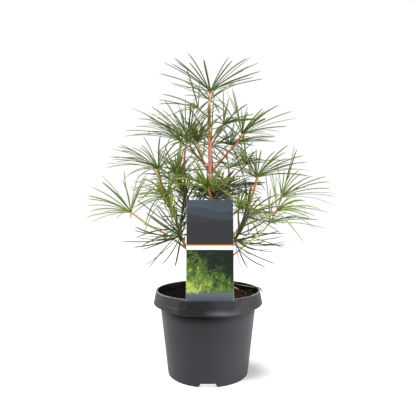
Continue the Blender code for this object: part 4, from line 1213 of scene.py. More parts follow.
@dataclass(frozen=True)
class PotFinish:
    """Satin anthracite plastic with the fine skin of a mould, and painted shade and painted highlights in its colour.

    Heights and radii are in metres. Sides are directions round the pot, in radians from the front towards
    the label's right.
    """

    name: str = "pot_plastic"
    base: Colour = (0.0298, 0.0298, 0.0348)
    rim_highlight: Colour = (0.3, 0.295, 0.3)
    inside_shade: Colour = (0.003, 0.0032, 0.0035)
    dust: Colour = (0.1, 0.095, 0.09)
    painted_highlight: Colour = (0.17, 0.17, 0.175)
    rough: float = 0.44
    gloss: float = 0.16
    cloud_lightness: Pair = (0.9, 1.12)
    flow_lightness: float = 1.35
    dust_share: float = 0.35
    dust_heights: Band = (0.0, 0.03, 1.0, 0.15)
    rim_height: float = 0.143
    rim_radius: float = 0.0912
    inner_radius: float = 0.0884
    neck_height: float = 0.119
    neck_blend: float = 0.8 * MM
    # Painted shade on the collar, a painted sheen on its right, and painted shade on the body below the collar:
    collar_share: float = 0.55
    sheen: float = 0.5
    sheen_sides: tuple[Pair, Pair] = ((-0.1, 0.3), (0.24, 0.5))
    shade_middle: float = -0.2
    shade_sides: Band = (0.15, 0.75, 0.92, 0.45)
    shade_height: float = 21.0 * MM
    lip_light: float = 0.5
    # Painted highlights along the collar's lower lip and along the ridge line of the sunk panel:
    lip_sides: tuple[Pair, Pair] = ((-0.12, 0.2), (0.22, 0.52))
    lip_heights: tuple[Pair, Pair] = ((0.1222, 0.1238), (0.1245, 0.1315))
    edge_light: float = 0.3
    edge_sides: tuple[Pair, Pair] = ((-0.85, -0.65), (-0.5, -0.42))
    edge_heights: tuple[Pair, Pair] = ((0.1277, 0.1284), (0.129, 0.1297))
    skin_depth: float = 0.05 * MM

    def made(self) -> bpy.types.Material:
        """Makes the material.

        Returns:
            The material.
        """
        paint = Paint(self.name, self.rough)
        place = paint.place()
        x, y, z = paint.parts(place)
        cloud, grain = paint.noise(place, 9.0, 3.0), paint.noise(place, 1500.0, 2.0)
        dull, light = (shaded(self.base, share) for share in self.cloud_lightness)
        body = paint.mix(paint.band(cloud, 0.3, 0.7), dull, light)
        around = paint.maths("ARCTAN2", y, x)
        flow = paint.noise(paint.joined(paint.times(around, 6.0), 0.0, paint.times(z, 14.0)), 1.4, 3.0)
        body = paint.mix(paint.band(flow, 0.55, 0.8, 0.0, 0.3), body, shaded(self.base, self.flow_lightness))
        dusty = paint.times(paint.band(paint.noise(place, 55.0, 4.0, 0.65), 0.56, 0.8), self.dust_share)
        body = paint.mix(paint.times(dusty, paint.band(z, *self.dust_heights)), body, self.dust)
        side = paint.maths("ARCTAN2", x, paint.times(y, -1.0))
        collar = paint.band(z, self.neck_height, self.neck_height + self.neck_blend)
        # Painted shade and a painted sheen darken and lighten the colour and the gloss.
        share = self.light_share(paint, side, z, collar)
        body = paint.dimmed(body, share)
        paint.feed("Specular IOR Level", paint.times(share, self.gloss))
        # Painted highlights on the lip and on the panel's ridge line.
        lip = paint.times(paint.span(side, *self.lip_sides), paint.span(z, *self.lip_heights))
        body = paint.mix(paint.times(lip, self.lip_light), body, self.painted_highlight)
        edge = paint.times(paint.span(side, *self.edge_sides), paint.span(z, *self.edge_heights))
        body = paint.mix(paint.times(edge, self.edge_light), body, self.painted_highlight)
        paint.feed("Base Color", self.rimmed(paint, body, z, collar))
        paint.feed("Roughness", paint.straight(flow, 0.16, paint.straight(grain, 0.1, self.rough - 0.12)))
        paint.relief(paint.plus(grain, paint.times(cloud, 2.0)), self.skin_depth, 0.5)
        return paint.material

    def light_share(self, paint: Paint, side: Socket, z: Socket, collar: Socket) -> Socket:
        """How much of the plastic's own lightness shows, with painted shade and a painted sheen.

        Args:
            paint: The material in the making.
            side: The direction round the pot.
            z: The height.
            collar: 1 on the collar and 0 below it.

        Returns:
            The share: painted shade on the collar, apart from its painted sheen, and painted shade on the body below
                the collar.
        """
        turned = paint.maths("ABSOLUTE", paint.less(side, self.shade_middle))
        below = paint.band(z, self.neck_height - self.shade_height, self.neck_height)
        shade = paint.times(paint.band(turned, *self.shade_sides), below, paint.less(1.0, collar))
        collared = paint.straight(paint.span(side, *self.sheen_sides), self.sheen, self.collar_share - 1.0)
        return paint.less(paint.straight(collar, collared, 1.0), shade)

    def rimmed(self, paint: Paint, body: Socket, z: Socket, collar: Socket) -> Socket:
        """Adds painted shade inside the pot and a painted highlight along the top of the rim.

        Args:
            paint: The material in the making.
            body: The pot's colour.
            z: The height.
            collar: 1 on the collar and 0 below it.

        Returns:
            The colour with both.
        """
        x, y, _ = paint.parts(paint.place())
        reach = paint.vector_maths("LENGTH", paint.joined(x, y))
        # Painted shade: the inside of the pot above the neck is near black.
        inner = paint.band(reach, self.inner_radius, self.inner_radius + 0.4 * MM, 1.0, 0.0)
        body = paint.mix(paint.times(inner, collar), body, self.inside_shade)
        # Painted highlight along the top of the rim.
        top = paint.band(z, self.rim_height - 0.9 * MM, self.rim_height - 0.2 * MM, 0.0, 0.85)
        rim = paint.times(top, paint.band(reach, self.rim_radius, self.rim_radius + 0.3 * MM, 1.0, 0.0))
        return paint.mix(rim, body, self.rim_highlight)


def arc(centre: Pair, radius: float, start: float, end: float, steps: int) -> list[Pair]:
    """Points on a bend.

    Args:
        centre: The bend's centre.
        radius: Its radius.
        start: Where it starts, in degrees.
        end: Where it ends, in degrees.
        steps: How many points it has after the first.

    Returns:
        The points, with both ends.
    """
    turns = [math.radians(start + (end - start) * k / steps) for k in range(steps + 1)]
    return [(centre[0] + radius * math.cos(turn), centre[1] + radius * math.sin(turn)) for turn in turns]


def even(first: Pair, last: Pair, steps: int) -> list[Pair]:
    """Even points between two ends, without the ends."""
    return [tuple(a + (b - a) * k / steps for a, b in zip(first, last)) for k in range(1, steps)]


@dataclass
class NurseryPot:
    """The turned pot: collar with its hanging lip, label boss and slot, foot notches and drain holes."""

    height: float = 0.143
    rim: float = 0.0909
    rim_width: float = 0.0027
    rim_ease: float = 0.0005
    bead: Pair = (0.0950, 0.1222)
    bead_round: float = 0.0027
    neck: Pair = (0.0835, 0.1190)
    foot: float = 0.0698
    foot_ease: float = 0.0004
    foot_width: float = 0.003
    wall: float = 0.0016
    floor: Pair = (0.0066, 0.0084)
    ledge: float = 0.1235
    fillet: float = 0.0008
    segments: int = 400
    crowding: tuple[tuple[float, float, float], ...] = ((5.0, -0.38, 0.07), (1.5, 0.5, 0.2))
    boss_face: tuple[Pair, ...] = (
        (0.1427, 0.0948), (0.1325, 0.0950), (0.1238, 0.0974), (0.1225, 0.0976),
        (0.1210, 0.0968), (0.1198, 0.0950), (0.1192, 0.0932))
    boss_ends: Pair = (-0.0390, 0.0450)
    boss_round: float = 0.012
    boss_drop: float = 0.1
    boss_bulge: tuple[float, float, float] = (0.0035, 0.006, 0.046)
    lip_reach: float = 0.0018
    lip_ends: Band = (-0.12, 0.12, 0.38, 0.66)
    lip_heights: Pair = (0.1240, 0.1325)
    panel_depth: float = 0.0006
    panel_foot: float = 0.1295
    panel_corner: float = 0.0085
    panel_start: float = 0.0320
    panel_end: Pair = (0.05, 0.09)
    ridge: float = 0.0007
    notch: Band = (0.0122, 0.0060, 0.0018, 0.0034)
    notch_depth: float = 0.011
    notch_start: float = 0.004
    drain: Pair = (0.005, 0.050)
    drains: int = 8
    slot_play: float = 0.0004

    def outside(self) -> list[Pair]:
        """Draws the outer section, from the foot to the top of the rim.

        Returns:
            Its points as radius and height.
        """
        body_foot, body_top = (self.foot, self.foot_ease), (self.neck[0], self.neck[1] - self.fillet)
        bead_r, bead_z = self.bead
        points = arc((self.foot - self.foot_ease, self.foot_ease), self.foot_ease, -90, 0, 4)
        points += even(body_foot, body_top, 26) + [body_top, (self.neck[0] + self.fillet, self.neck[1])]
        under = (bead_r - self.bead_round, bead_z - self.bead_round)
        points += even(points[-1], under, 4)
        points += arc((bead_r - self.bead_round, bead_z), self.bead_round, -90, 0, 8)
        top = (self.rim, self.height - self.rim_ease)
        for k in range(1, 32):
            share = k / 32
            points.append((bead_r + (top[0] - bead_r) * share**0.9, bead_z + (top[1] - bead_z) * share))
        return points + arc((self.rim - self.rim_ease, top[1]), self.rim_ease, 0, 90, 3)

    def inside(self) -> list[Pair]:
        """Draws the inner section, from the rim down to the floor.

        Returns:
            Its points as radius and height.
        """
        inner, ease = self.rim - self.rim_width, self.rim_ease
        wall_top = (self.neck[0] - self.wall, self.neck[1] + self.wall / 2)
        wall_foot = (self.foot - self.wall, self.floor[1] + 2 * ease)
        points = arc((inner + ease, self.height - ease), ease, 90, 180, 3)
        points += even(points[-1], (inner, self.ledge), 6)
        points += [(inner, self.ledge + ease), (inner - ease, self.ledge - 0.3 * ease)]
        points += [(wall_top[0] + ease, wall_top[1] + 0.3 * ease), (wall_top[0], wall_top[1] - ease)]
        points += even(points[-1], wall_foot, 10) + [wall_foot]
        return points + [(wall_foot[0] - 2 * ease, self.floor[1])]

    def outline(self) -> tuple[list[Pair], int]:
        """Draws the whole section, from the middle of the underside round to the middle of the floor.

        Returns:
            The section as radius and height, and the number of its points that lie outside.
        """
        step, under = self.foot - self.foot_width, self.floor[0]
        points = [(0.0, under), (step - self.fillet, under), (step, under - self.fillet)]
        points += [(step, self.rim_ease), (step + self.rim_ease, 0.0)] + self.outside()
        count = len(points)
        return points + self.inside() + [(0.0, self.floor[1])], count

    def angles(self) -> list[float]:
        """Spaces the section's copies, closer together where the boss ends.

        Returns:
            The directions, in radians.
        """
        even_turns = np.linspace(-math.pi, math.pi, 2001)
        weight = np.ones_like(even_turns)
        for more, turn, width in self.crowding:
            weight += more * np.exp(-(((even_turns - turn) / width) ** 2))
        run = np.concatenate([[0.0], np.cumsum(0.5 * (weight[1:] + weight[:-1]))])
        return list(np.interp(np.arange(self.segments) / self.segments * run[-1], run, even_turns))

    def boss_depth(self, z: float) -> float:
        """How far the flat of the label boss stands from the pot's middle at a height."""
        heights, depths = zip(*self.boss_face[::-1])
        return float(np.interp(z, heights, depths))

    def panel(self, z: float, angle: float) -> float:
        """The distance into the sunk panel on the collar's left, which has a round lower corner.

        Args:
            z: The height.
            angle: The direction, in radians from the front.

        Returns:
            The distance from the panel's edge, negative outside the panel.
        """
        along, up = -angle * self.rim - self.panel_start, z - self.panel_foot
        corner = self.panel_corner
        if along < corner and up < corner:
            return corner - math.hypot(corner - along, corner - up)
        return min(along, up)

    def moulded(self, radius: float, z: float, angle: float) -> float:
        """The outer radius with the label boss and the sunk panel beside it.

        Args:
            radius: The radius of the turned section.
            z: The height.
            angle: The direction, in radians, with 0 at the front and more to the label's right.

        Returns:
            The moulded radius.
        """
        if z < self.boss_face[-1][0]:
            return radius
        reach = self.wide(radius, z, angle)
        low, full, wane, last = self.lip_ends
        lip = smooth_step(low, full, angle) * (1.0 - smooth_step(wane, last, angle))
        reach += self.lip_reach * lip * (1.0 - smooth_step(*self.lip_heights, z))
        into = self.panel(z, angle)
        fade = 1.0 - smooth_step(*self.panel_end, -angle * self.rim) if angle < 0 else 0.0
        ridge = self.ridge * math.exp(-(((into + 0.0008) / 0.0008) ** 2))
        return reach + fade * (ridge - self.panel_depth * smooth_step(-0.0006, 0.0008, into))

    def wide(self, radius: float, z: float, angle: float) -> float:
        """Adds the label's boss: nearly flat in front, and led back to the round on both sides.

        Args:
            radius: The radius of the turned section.
            z: The height.
            angle: The direction, in radians from the front.

        Returns:
            The outer radius with the boss.
        """
        depth, corner, turn = self.boss_depth(z), abs(self.boss_ends[angle > 0]), abs(angle)
        side = math.atan2(corner, depth) + math.acos(min(radius / math.hypot(corner, depth), 1.0))
        if turn >= side:
            return radius
        bulge, middle_x, half = self.boss_bulge
        across = (depth * math.tan(angle) - middle_x) / half
        face = (depth + bulge * (1.0 - min(across * across, 1.0))) / math.cos(turn)
        return max(radius, soft_least(face, radius / math.cos(side - turn), self.boss_round))

    def shell(self) -> bpy.types.Mesh:
        """Makes the turned and moulded shell, before it is cut.

        Returns:
            The shell.
        """
        outline, outside = self.outline()
        angles = self.angles()
        mesh = bmesh.new()
        rings: list[Ring] = []
        for index, (radius, z) in enumerate(outline):
            if radius == 0.0:
                rings.append([mesh.verts.new((0.0, 0.0, z))])
                continue
            ring = []
            for angle in angles:
                reach, level = radius, z
                if index < outside and radius > self.neck[0]:
                    reach = self.moulded(radius, z, angle)
                    level -= self.boss_drop * (reach - radius) * smooth_step(0.135, self.height, z)
                ring.append(mesh.verts.new((reach * math.sin(angle), -reach * math.cos(angle), level)))
            rings.append(ring)
        for low, high in zip(rings, rings[1:]):
            for k in range(self.segments):
                step = (k + 1) % self.segments
                corners = [low[k % len(low)], low[step % len(low)], high[step % len(high)], high[k % len(high)]]
                mesh.faces.new(list(dict.fromkeys(corners)))
        bmesh.ops.recalc_face_normals(mesh, faces=mesh.faces)
        return finished(mesh, "pot_shell")

    def cutters(self, card: "CardLabel") -> bpy.types.Mesh:
        """Makes the shapes that are cut from the shell: foot notches, drain holes and the label's slot.

        Args:
            card: The label.

        Returns:
            The shapes in one mesh.
        """
        mesh = bmesh.new()
        half, high, corner, flare = self.notch
        side = arc((half - corner, high - corner), corner, 90, 40, 5)
        side += arc((half + 0.0018 + flare, flare - 0.0004), flare, 220, 262, 6) + [(half + 0.0018 + flare, -0.002)]
        outline = [(-x, z) for x, z in side[::-1]] + side
        for k in range(4):
            turn = Matrix.Rotation(0.5 * math.pi * k, 3, "Z")
            notch = [turn @ Vector((x, -self.foot - self.notch_start, z)) for x, z in outline]
            prism(mesh, notch, turn @ Vector((0.0, self.notch_depth, 0.0)))
        radius, circle = self.drain
        for k in range(self.drains):
            turn = Matrix.Rotation(math.radians(360.0 / self.drains * (k + 0.5)), 3, "Z")
            hole = [turn @ Vector((x, y, 0.004)) for x, y in arc((circle, 0.0), radius, 0, 345, 23)]
            prism(mesh, hole, Vector((0.0, 0.0, 0.008)))
        prism(mesh, card.slot_section(self.slot_play), card.thick_way() * (card.thickness + 2 * self.slot_play))
        bmesh.ops.recalc_face_normals(mesh, faces=mesh.faces)
        return finished(mesh, "pot_cutters")

    def build(self, card: "CardLabel", finish: bpy.types.Material) -> Piece:
        """Builds the pot.

        Args:
            card: The label, whose foot stands in the pot's slot.
            finish: The pot's material.

        Returns:
            The piece.
        """
        piece = new_piece("pot_shell", self.shell())
        cutter = new_piece("pot_cutters", self.cutters(card))
        cut = piece.modifiers.new("cut", "BOOLEAN")
        cut.operation, cut.solver, cut.object = "DIFFERENCE", "EXACT", cutter
        depsgraph = bpy.context.evaluated_depsgraph_get()
        made = bpy.data.meshes.new_from_object(piece.evaluated_get(depsgraph), depsgraph=depsgraph)
        piece.modifiers.clear()
        piece.data = made
        bpy.data.objects.remove(cutter)
        made.shade_smooth()
        made.set_sharp_from_angle(angle=math.radians(38.0))
        made.materials.clear()
        made.materials.append(finish)
        return piece


def prism(mesh: bmesh.types.BMesh, outline: list[Vector], depth: Vector) -> None:
    """Adds a closed prism.

    Args:
        mesh: The mesh that it is added to.
        outline: The outline of its near end.
        depth: The way from there to its far end.
    """
    near = [mesh.verts.new(point) for point in outline]
    far = [mesh.verts.new(point + depth) for point in outline]
    mesh.faces.new(near)
    mesh.faces.new(far[::-1])
    for k in range(len(outline)):
        step = (k + 1) % len(outline)
        mesh.faces.new((near[k], far[k], far[step], near[step]))


# ---- label


@dataclass(frozen=True)
class CardFinish:
    """A satin card, printed on its front with hills, a white rule and a bed of leaves.

    The print is 1 wide, and its heights are measured in widths. Each hill has its pace across the print, its
    phase, its height and its rise.
    """

    name: str = "label_card"
    slate: Colour = (0.026, 0.027, 0.03)
    haze: Colour = (0.06, 0.078, 0.1)
    far_tone: Colour = (0.044, 0.055, 0.068)
    near_tone: Colour = (0.032, 0.037, 0.044)
    white: Colour = (0.86, 0.87, 0.86)
    orange: Colour = (0.85, 0.3, 0.035)
    shade_leaf: Colour = (0.005, 0.01, 0.006)
    leaf: Colour = (0.08, 0.15, 0.026)
    fresh_leaf: Colour = (0.46, 0.52, 0.1)
    foot: Colour = (0.07, 0.09, 0.107)
    mist: Colour = (0.11, 0.125, 0.135)
    plain_back: Colour = (0.6, 0.61, 0.6)
    far_hill: Band = (5.2, 0.6, 1.92, 0.05)
    near_hill: Band = (3.1, 2.2, 1.78, 0.07)
    slate_top: Pair = (1.66, 0.05)
    orange_top: float = 1.165
    white_top: float = 1.14
    leaves_top: float = 1.06
    mist_band: Pair = (0.02, 0.2)
    grain_depth: float = 0.02 * MM

    def made(self) -> bpy.types.Material:
        """Makes the material.

        Returns:
            The material.
        """
        paint = Paint(self.name, 0.38, Specular_IOR_Level=0.2)
        spot = paint.add("ShaderNodeUVMap", uv_map="print").outputs[0]
        u, v, _ = paint.parts(spot)
        body = paint.mix(self.under(paint, v, self.hill(paint, u, *self.far_hill)), self.haze, self.far_tone)
        body = paint.mix(self.under(paint, v, self.hill(paint, u, *self.near_hill)), body, self.near_tone)
        body = paint.mix(self.under(paint, v, *self.slate_top), body, self.slate)
        body = paint.mix(self.under(paint, v, self.orange_top), body, self.orange)
        body = paint.mix(self.under(paint, v, self.white_top), body, self.white)
        body = paint.mix(self.under(paint, v, self.leaves_top), body, self.leaves(paint, spot, u, v))
        mist = paint.mix(paint.band(v, *self.mist_band), self.foot, self.mist)
        ragged = paint.straight(paint.noise(spot, 12.0, 3.0), 0.12, 0.11)
        body = paint.mix(self.under(paint, v, ragged, 0.04), body, mist)
        paint.feed("Base Color", paint.mix(paint.read("front"), self.plain_back, body))
        grain = paint.noise(paint.place(), 700.0, 2.0)
        paint.feed("Roughness", paint.straight(grain, 0.15, 0.32))
        paint.relief(grain, self.grain_depth, 0.4)
        return paint.material

    @staticmethod
    def under(paint: Paint, v: Socket, height: Any, soft: float = 0.006) -> Socket:
        """1 below a height of the print and 0 above it."""
        return paint.band(paint.less(height, v), -soft, soft)

    @staticmethod
    def hill(paint: Paint, u: Socket, pace: float, phase: float, height: float, rise: float) -> Socket:
        """The height of a low rolling hill across the print."""
        return paint.straight(paint.maths("SINE", paint.straight(u, pace, phase)), rise, height)

    def leaves(self, paint: Paint, spot: Socket, u: Socket, v: Socket) -> Socket:
        """Paints a bed of leaves in loose tufts, lighter at the lower left and dark at the upper right.

        Args:
            paint: The material in the making.
            spot: The place on the print.
            u: How far across the print it is.
            v: How far up the print it is.

        Returns:
            The leaves' colour.
        """
        warp = paint.noise(spot, 7.0, 3.0)
        bent = paint.vector_maths("ADD", spot, paint.joined(paint.times(warp, 0.16), paint.times(warp, 0.3)))
        tufts = paint.add("ShaderNodeTexVoronoi", {"Vector": bent, "Scale": 8.0}).outputs["Distance"]
        blades = paint.noise(paint.vector_maths("MULTIPLY", bent, (1.0, 0.6, 1.0)), 46.0, 3.0, 0.6)
        light = paint.plus(paint.band(tufts, 0.0, 0.6, 0.3, 0.0), paint.band(blades, 0.36, 0.64, 0.0, 0.5))
        cloud = paint.band(paint.noise(spot, 4.5, 4.0, 0.65), 0.32, 0.68, 0.0, 0.42)
        slope = paint.plus(paint.times(u, 0.6), paint.plus(v, paint.times(warp, 0.5)))
        gloom = paint.band(slope, 0.95, 1.75, 0.0, 0.66)
        glow = paint.times(paint.band(u, 0.1, 0.6, 0.5, 0.0), paint.band(v, 0.3, 0.6, 1.0, 0.0))
        amount = paint.less(paint.plus(light, cloud, glow), gloom)
        body = paint.mix(paint.band(amount, 0.12, 0.62), self.shade_leaf, self.leaf)
        return paint.mix(paint.band(amount, 0.62, 1.15), body, self.fresh_leaf)


@dataclass
class CardLabel:
    """The upright card that stands in the slot of the pot's collar."""

    width: float = 0.0735
    centre: float = 0.0030
    mouth: float = 0.0925
    mouth_height: float = 0.143
    above: float = 0.1565
    below: float = 0.0200
    thickness: float = 0.0008
    corner: float = 0.0020
    lean: float = math.radians(7.3)
    ease: float = 0.15 * MM
    room: float = 2.5 * MM

    def frame(self) -> Matrix:
        """Where the card stands: x across, y through it and z up its face."""
        place = Matrix.Translation((self.centre, -self.mouth, self.mouth_height))
        return place @ Matrix.Rotation(-self.lean, 4, "X")

    def clear_of(self, points: np.ndarray) -> bool:
        """Tests whether a line of points keeps clear of the card.

        Args:
            points: The line's points.

        Returns:
            Whether they all lie behind the card or beside it.
        """
        back = self.frame().inverted()
        for x, y, z in (back @ Vector(point) for point in points):
            if abs(x) < 0.5 * self.width + self.room and -self.below < z < self.above + self.room and y < self.room:
                return False
        return True

    def thick_way(self) -> Vector:
        """The direction through the card, from its front to its back."""
        return (self.frame().to_3x3() @ Vector((0.0, 1.0, 0.0))).normalized()

    def slot_section(self, play: float) -> list[Vector]:
        """Draws the slot on the front face of the card, moved out by the play.

        Args:
            play: How much room the slot leaves around the card.

        Returns:
            The outline's corners.
        """
        half, low = 0.5 * self.width + play, -self.below - play
        corners = ((-half, low), (half, low), (half, 0.01), (-half, 0.01))
        return [self.frame() @ Vector((x, -0.5 * self.thickness - play, z)) for x, z in corners]

    def outline(self) -> list[Pair]:
        """Draws the card's outline, with round corners.

        Returns:
            Its points across and up the card's face.
        """
        right, high, low = 0.5 * self.width - self.corner, self.above - self.corner, self.corner - self.below
        points = []
        for x, z, start in ((right, high, 0.0), (-right, high, 90.0), (-right, low, 180.0), (right, low, 270.0)):
            points += arc((x, z), self.corner, start, start + 90.0, 6)
        return points

    def build(self, finish: bpy.types.Material) -> Piece:
        """Builds the card with rounded corners and eased edges.

        Args:
            finish: The card's material.

        Returns:
            The piece.
        """
        mesh = bmesh.new()
        sheet = mesh.loops.layers.uv.new("print")
        face_kind = mesh.faces.layers.float.new("front")
        half, middle_z = 0.5 * self.width, 0.5 * (self.above - self.below)
        half_height = 0.5 * (self.above + self.below)
        outline = self.outline()
        slope = self.ease / self.thickness
        rings: list[Ring] = []
        for depth, inset in ((-0.5, self.ease), (-0.5 + slope, 0.0), (0.5 - slope, 0.0), (0.5, self.ease)):
            across, up = 1 - inset / half, 1 - inset / half_height
            y = depth * self.thickness
            rings.append([mesh.verts.new((x * across, y, middle_z + (z - middle_z) * up)) for x, z in outline])
        for near, far in zip(rings, rings[1:]):
            bridge(mesh, near, far)
        mesh.faces.new(rings[0])[face_kind] = 1.0
        mesh.faces.new(rings[-1][::-1])
        bmesh.ops.recalc_face_normals(mesh, faces=mesh.faces)
        for face in mesh.faces:
            for loop in face.loops:
                x, _, z = loop.vert.co
                loop[sheet].uv = (x / self.width + 0.5, z / self.width)
        mesh.transform(self.frame())
        made = finished(mesh, "card_label")
        made.materials.append(finish)
        return new_piece("card_label", made)


# ---- earth and litter


@dataclass(frozen=True)
class EarthFinish:
    """Moist dark potting earth with paler crumbs and reddish bark, with painted shade that darkens it towards the
    left.
    """

    name: str = "potting_earth"
    dark: Colour = (0.003, 0.002, 0.0016)
    brown: Colour = (0.034, 0.019, 0.012)
    red: Colour = (0.12, 0.055, 0.032)
    pale: Colour = (0.33, 0.2, 0.11)
    left_shade: Band = (-0.05, 0.06, 0.06, 1.8)
    depth: float = 0.6 * MM

    def made(self) -> bpy.types.Material:
        """Makes the material.

        Returns:
            The material.
        """
        paint = Paint(self.name, 0.85, Specular_IOR_Level=0.08)
        place, tone = paint.place(), paint.read("tone")
        crumb = paint.noise(place, 260.0, 5.0, 0.7)
        body = paint.mix(paint.band(crumb, 0.38, 0.7), self.dark, self.brown)
        chips = paint.mix(paint.band(paint.noise(place, 420.0, 3.0), 0.3, 0.7), self.brown, self.red)
        body = paint.mix(paint.band(tone, 0.45, 1.0, 0.0, 0.85), body, chips)
        body = paint.mix(paint.band(tone, 0.9, 1.0, 0.0, 0.7), body, self.pale)
        # Painted shade: the earth darkens towards the left, where the pot's wall shades it.
        across = paint.parts(place)[0]
        paint.feed("Base Color", paint.dimmed(body, paint.band(across, *self.left_shade)))
        paint.relief(paint.plus(crumb, paint.noise(place, 1100.0, 3.0)), self.depth, 0.9)
        return paint.material


def chip_form() -> Form:
    """Makes the tree that strews bark chips over the top of the earth.

    Returns:
        The tree.
    """
    form = Form("chip_maker")
    density, size = form.size("Chips per area"), form.size("Chip size")
    seed = form.size("Seed", "NodeSocketInt")
    place = form.add("GeometryNodeInputPosition").outputs[0]
    bed = form.store(form.drawn, "tone", form.times(form.noise(place, 300.0, 2.0), 0.6))
    feeds = {"Mesh": bed, "Density": density, "Seed": seed, "Selection": form.read("top", "BOOLEAN")}
    points = form.add("GeometryNodeDistributePointsOnFaces", feeds)
    ball = form.add("GeometryNodeMeshUVSphere", {"Segments": 7, "Rings": 5, "Radius": 1.0}).outputs[0]
    jag = form.add("ShaderNodeTexNoise", {"Vector": place, "Scale": 1.3, "Detail": 1.0}).outputs["Color"]
    push = form.vector_maths("SUBTRACT", jag, (0.5, 0.5, 0.5))
    ball = form.add("GeometryNodeSetPosition", {"Geometry": ball, "Offset": form.scaled(push, 1.5)}).outputs[0]
    angles = form.chance((-0.5, -0.5, -3.14), (0.5, 0.5, 3.14), 5, "FLOAT_VECTOR")
    spin = form.add("FunctionNodeEulerToRotation", {0: angles}).outputs[0]
    long, wide = form.chance(0.5, 2.1, 6), form.chance(0.35, 0.9, 7)
    scale = form.scaled(form.joined(long, wide, form.chance(0.2, 0.6, 8)), size)
    feeds = {"Points": points.outputs["Points"], "Instance": ball, "Rotation": spin, "Scale": scale}
    chips = form.add("GeometryNodeInstanceOnPoints", feeds).outputs[0]
    form.close(form.store(chips, "tone", form.chance(0.25, 1.0, 9), domain="INSTANCE"), bed)
    return form


@dataclass
class EarthBed:
    """The earth that fills the pot, uneven on top, with chips of bark."""

    segments: int = 120
    rings: int = 26
    rise: float = 1.6 * MM
    edge_drop: float = 1.0 * MM
    waves: int = 14
    wave_ends: tuple[Pair, ...] = ((60.0, 190.0), (0.0, 6.28), (0.0, 6.28), (0.2, 1.0))
    side_from: float = 0.055
    chips: float = 52000.0
    chip_size: float = 2.1 * MM
    seed: int = 4

    def section(self) -> list[Pair]:
        """Reads the side of the frame's earth.

        Returns:
            Its heights and radii, from the top down.
        """
        levels: dict[int, float] = {}
        for vert in frame["nodes"]["soil"].data.vertices:
            radius, key = math.hypot(vert.co.x, vert.co.y), round(vert.co.z / MM)
            levels[key] = max(levels.get(key, 0.0), radius)
        side = [(key * MM, radius) for key, radius in levels.items() if radius > self.side_from]
        return sorted(side, reverse=True)

    def bumps(self) -> list[Band]:
        """Draws the waves that the top is made of.

        Returns:
            Each wave's pace, direction, phase and share.
        """
        dice = random.Random("earth")
        return [tuple(dice.uniform(*ends) for ends in self.wave_ends) for _ in range(self.waves)]

    def lift(self, bumps: list[Band], x: float, y: float) -> float:
        """Measures the earth's top at a place.

        Args:
            bumps: The waves.
            x: The place across.
            y: The place from front to back.

        Returns:
            How far it stands above its mean level.
        """
        total = sum(
            share * math.sin(pace * (x * math.cos(turn) + y * math.sin(turn)) + phase)
            for pace, turn, phase, share in bumps
        )
        return self.rise * clamp(total / 4.0, -1.0, 1.0)

    def build(self, form: Form, finish: bpy.types.Material) -> Piece:
        """Builds the earth.

        Args:
            form: The tree that strews the chips.
            finish: The earth's material.

        Returns:
            The piece.
        """
        side = self.section()
        (level, top), (low, _) = side[0], side[-1]
        bumps = self.bumps()
        mesh = bmesh.new()
        centre = mesh.verts.new((0.0, 0.0, level + self.lift(bumps, 0.0, 0.0)))
        rings: list[Ring] = []
        for r in range(1, self.rings + 1):
            drop = self.edge_drop if r == self.rings else 0.0
            ring = []
            for k in range(self.segments):
                x, y = (top * r / self.rings * f(2 * math.pi * k / self.segments) for f in (math.cos, math.sin))
                ring.append(mesh.verts.new((x, y, level + self.lift(bumps, x, y) - drop)))
            rings.append(ring)
        walls = [rings[-1]]
        for z, radius in side[1:]:
            scale = radius / top
            walls.append([mesh.verts.new((v.co.x * scale, v.co.y * scale, z)) for v in rings[-1]])
        base = mesh.verts.new((0.0, 0.0, low))
        kind = mesh.faces.layers.float.new("top")
        for k in range(self.segments):
            step = (k + 1) % self.segments
            faces = [mesh.faces.new((centre, rings[0][k], rings[0][step]))]
            for inner, outer in zip(rings, rings[1:]):
                faces.append(mesh.faces.new((inner[k], outer[k], outer[step], inner[step])))
            for face in faces[:-1]:
                face[kind] = 1.0
            for upper, lower in zip(walls, walls[1:]):
                mesh.faces.new((upper[k], lower[k], lower[step], upper[step]))
            mesh.faces.new((walls[-1][k], base, walls[-1][step]))
        piece = new_piece("earth_bed", finished(mesh, "earth_bed"))
        sizes = {"Chips per area": self.chips, "Chip size": self.chip_size, "Seed": self.seed, "Finish": finish}
        return form.bake(piece, sizes)


STRAW = NeedleFinish(
    name="dry_needle_straw",
    foot=(0.5, 0.4, 0.24),
    body=(0.62, 0.55, 0.38),
    end=(0.08, 0.07, 0.035),
    sunny=(0.7, 0.64, 0.48),
    rough=0.6,
)


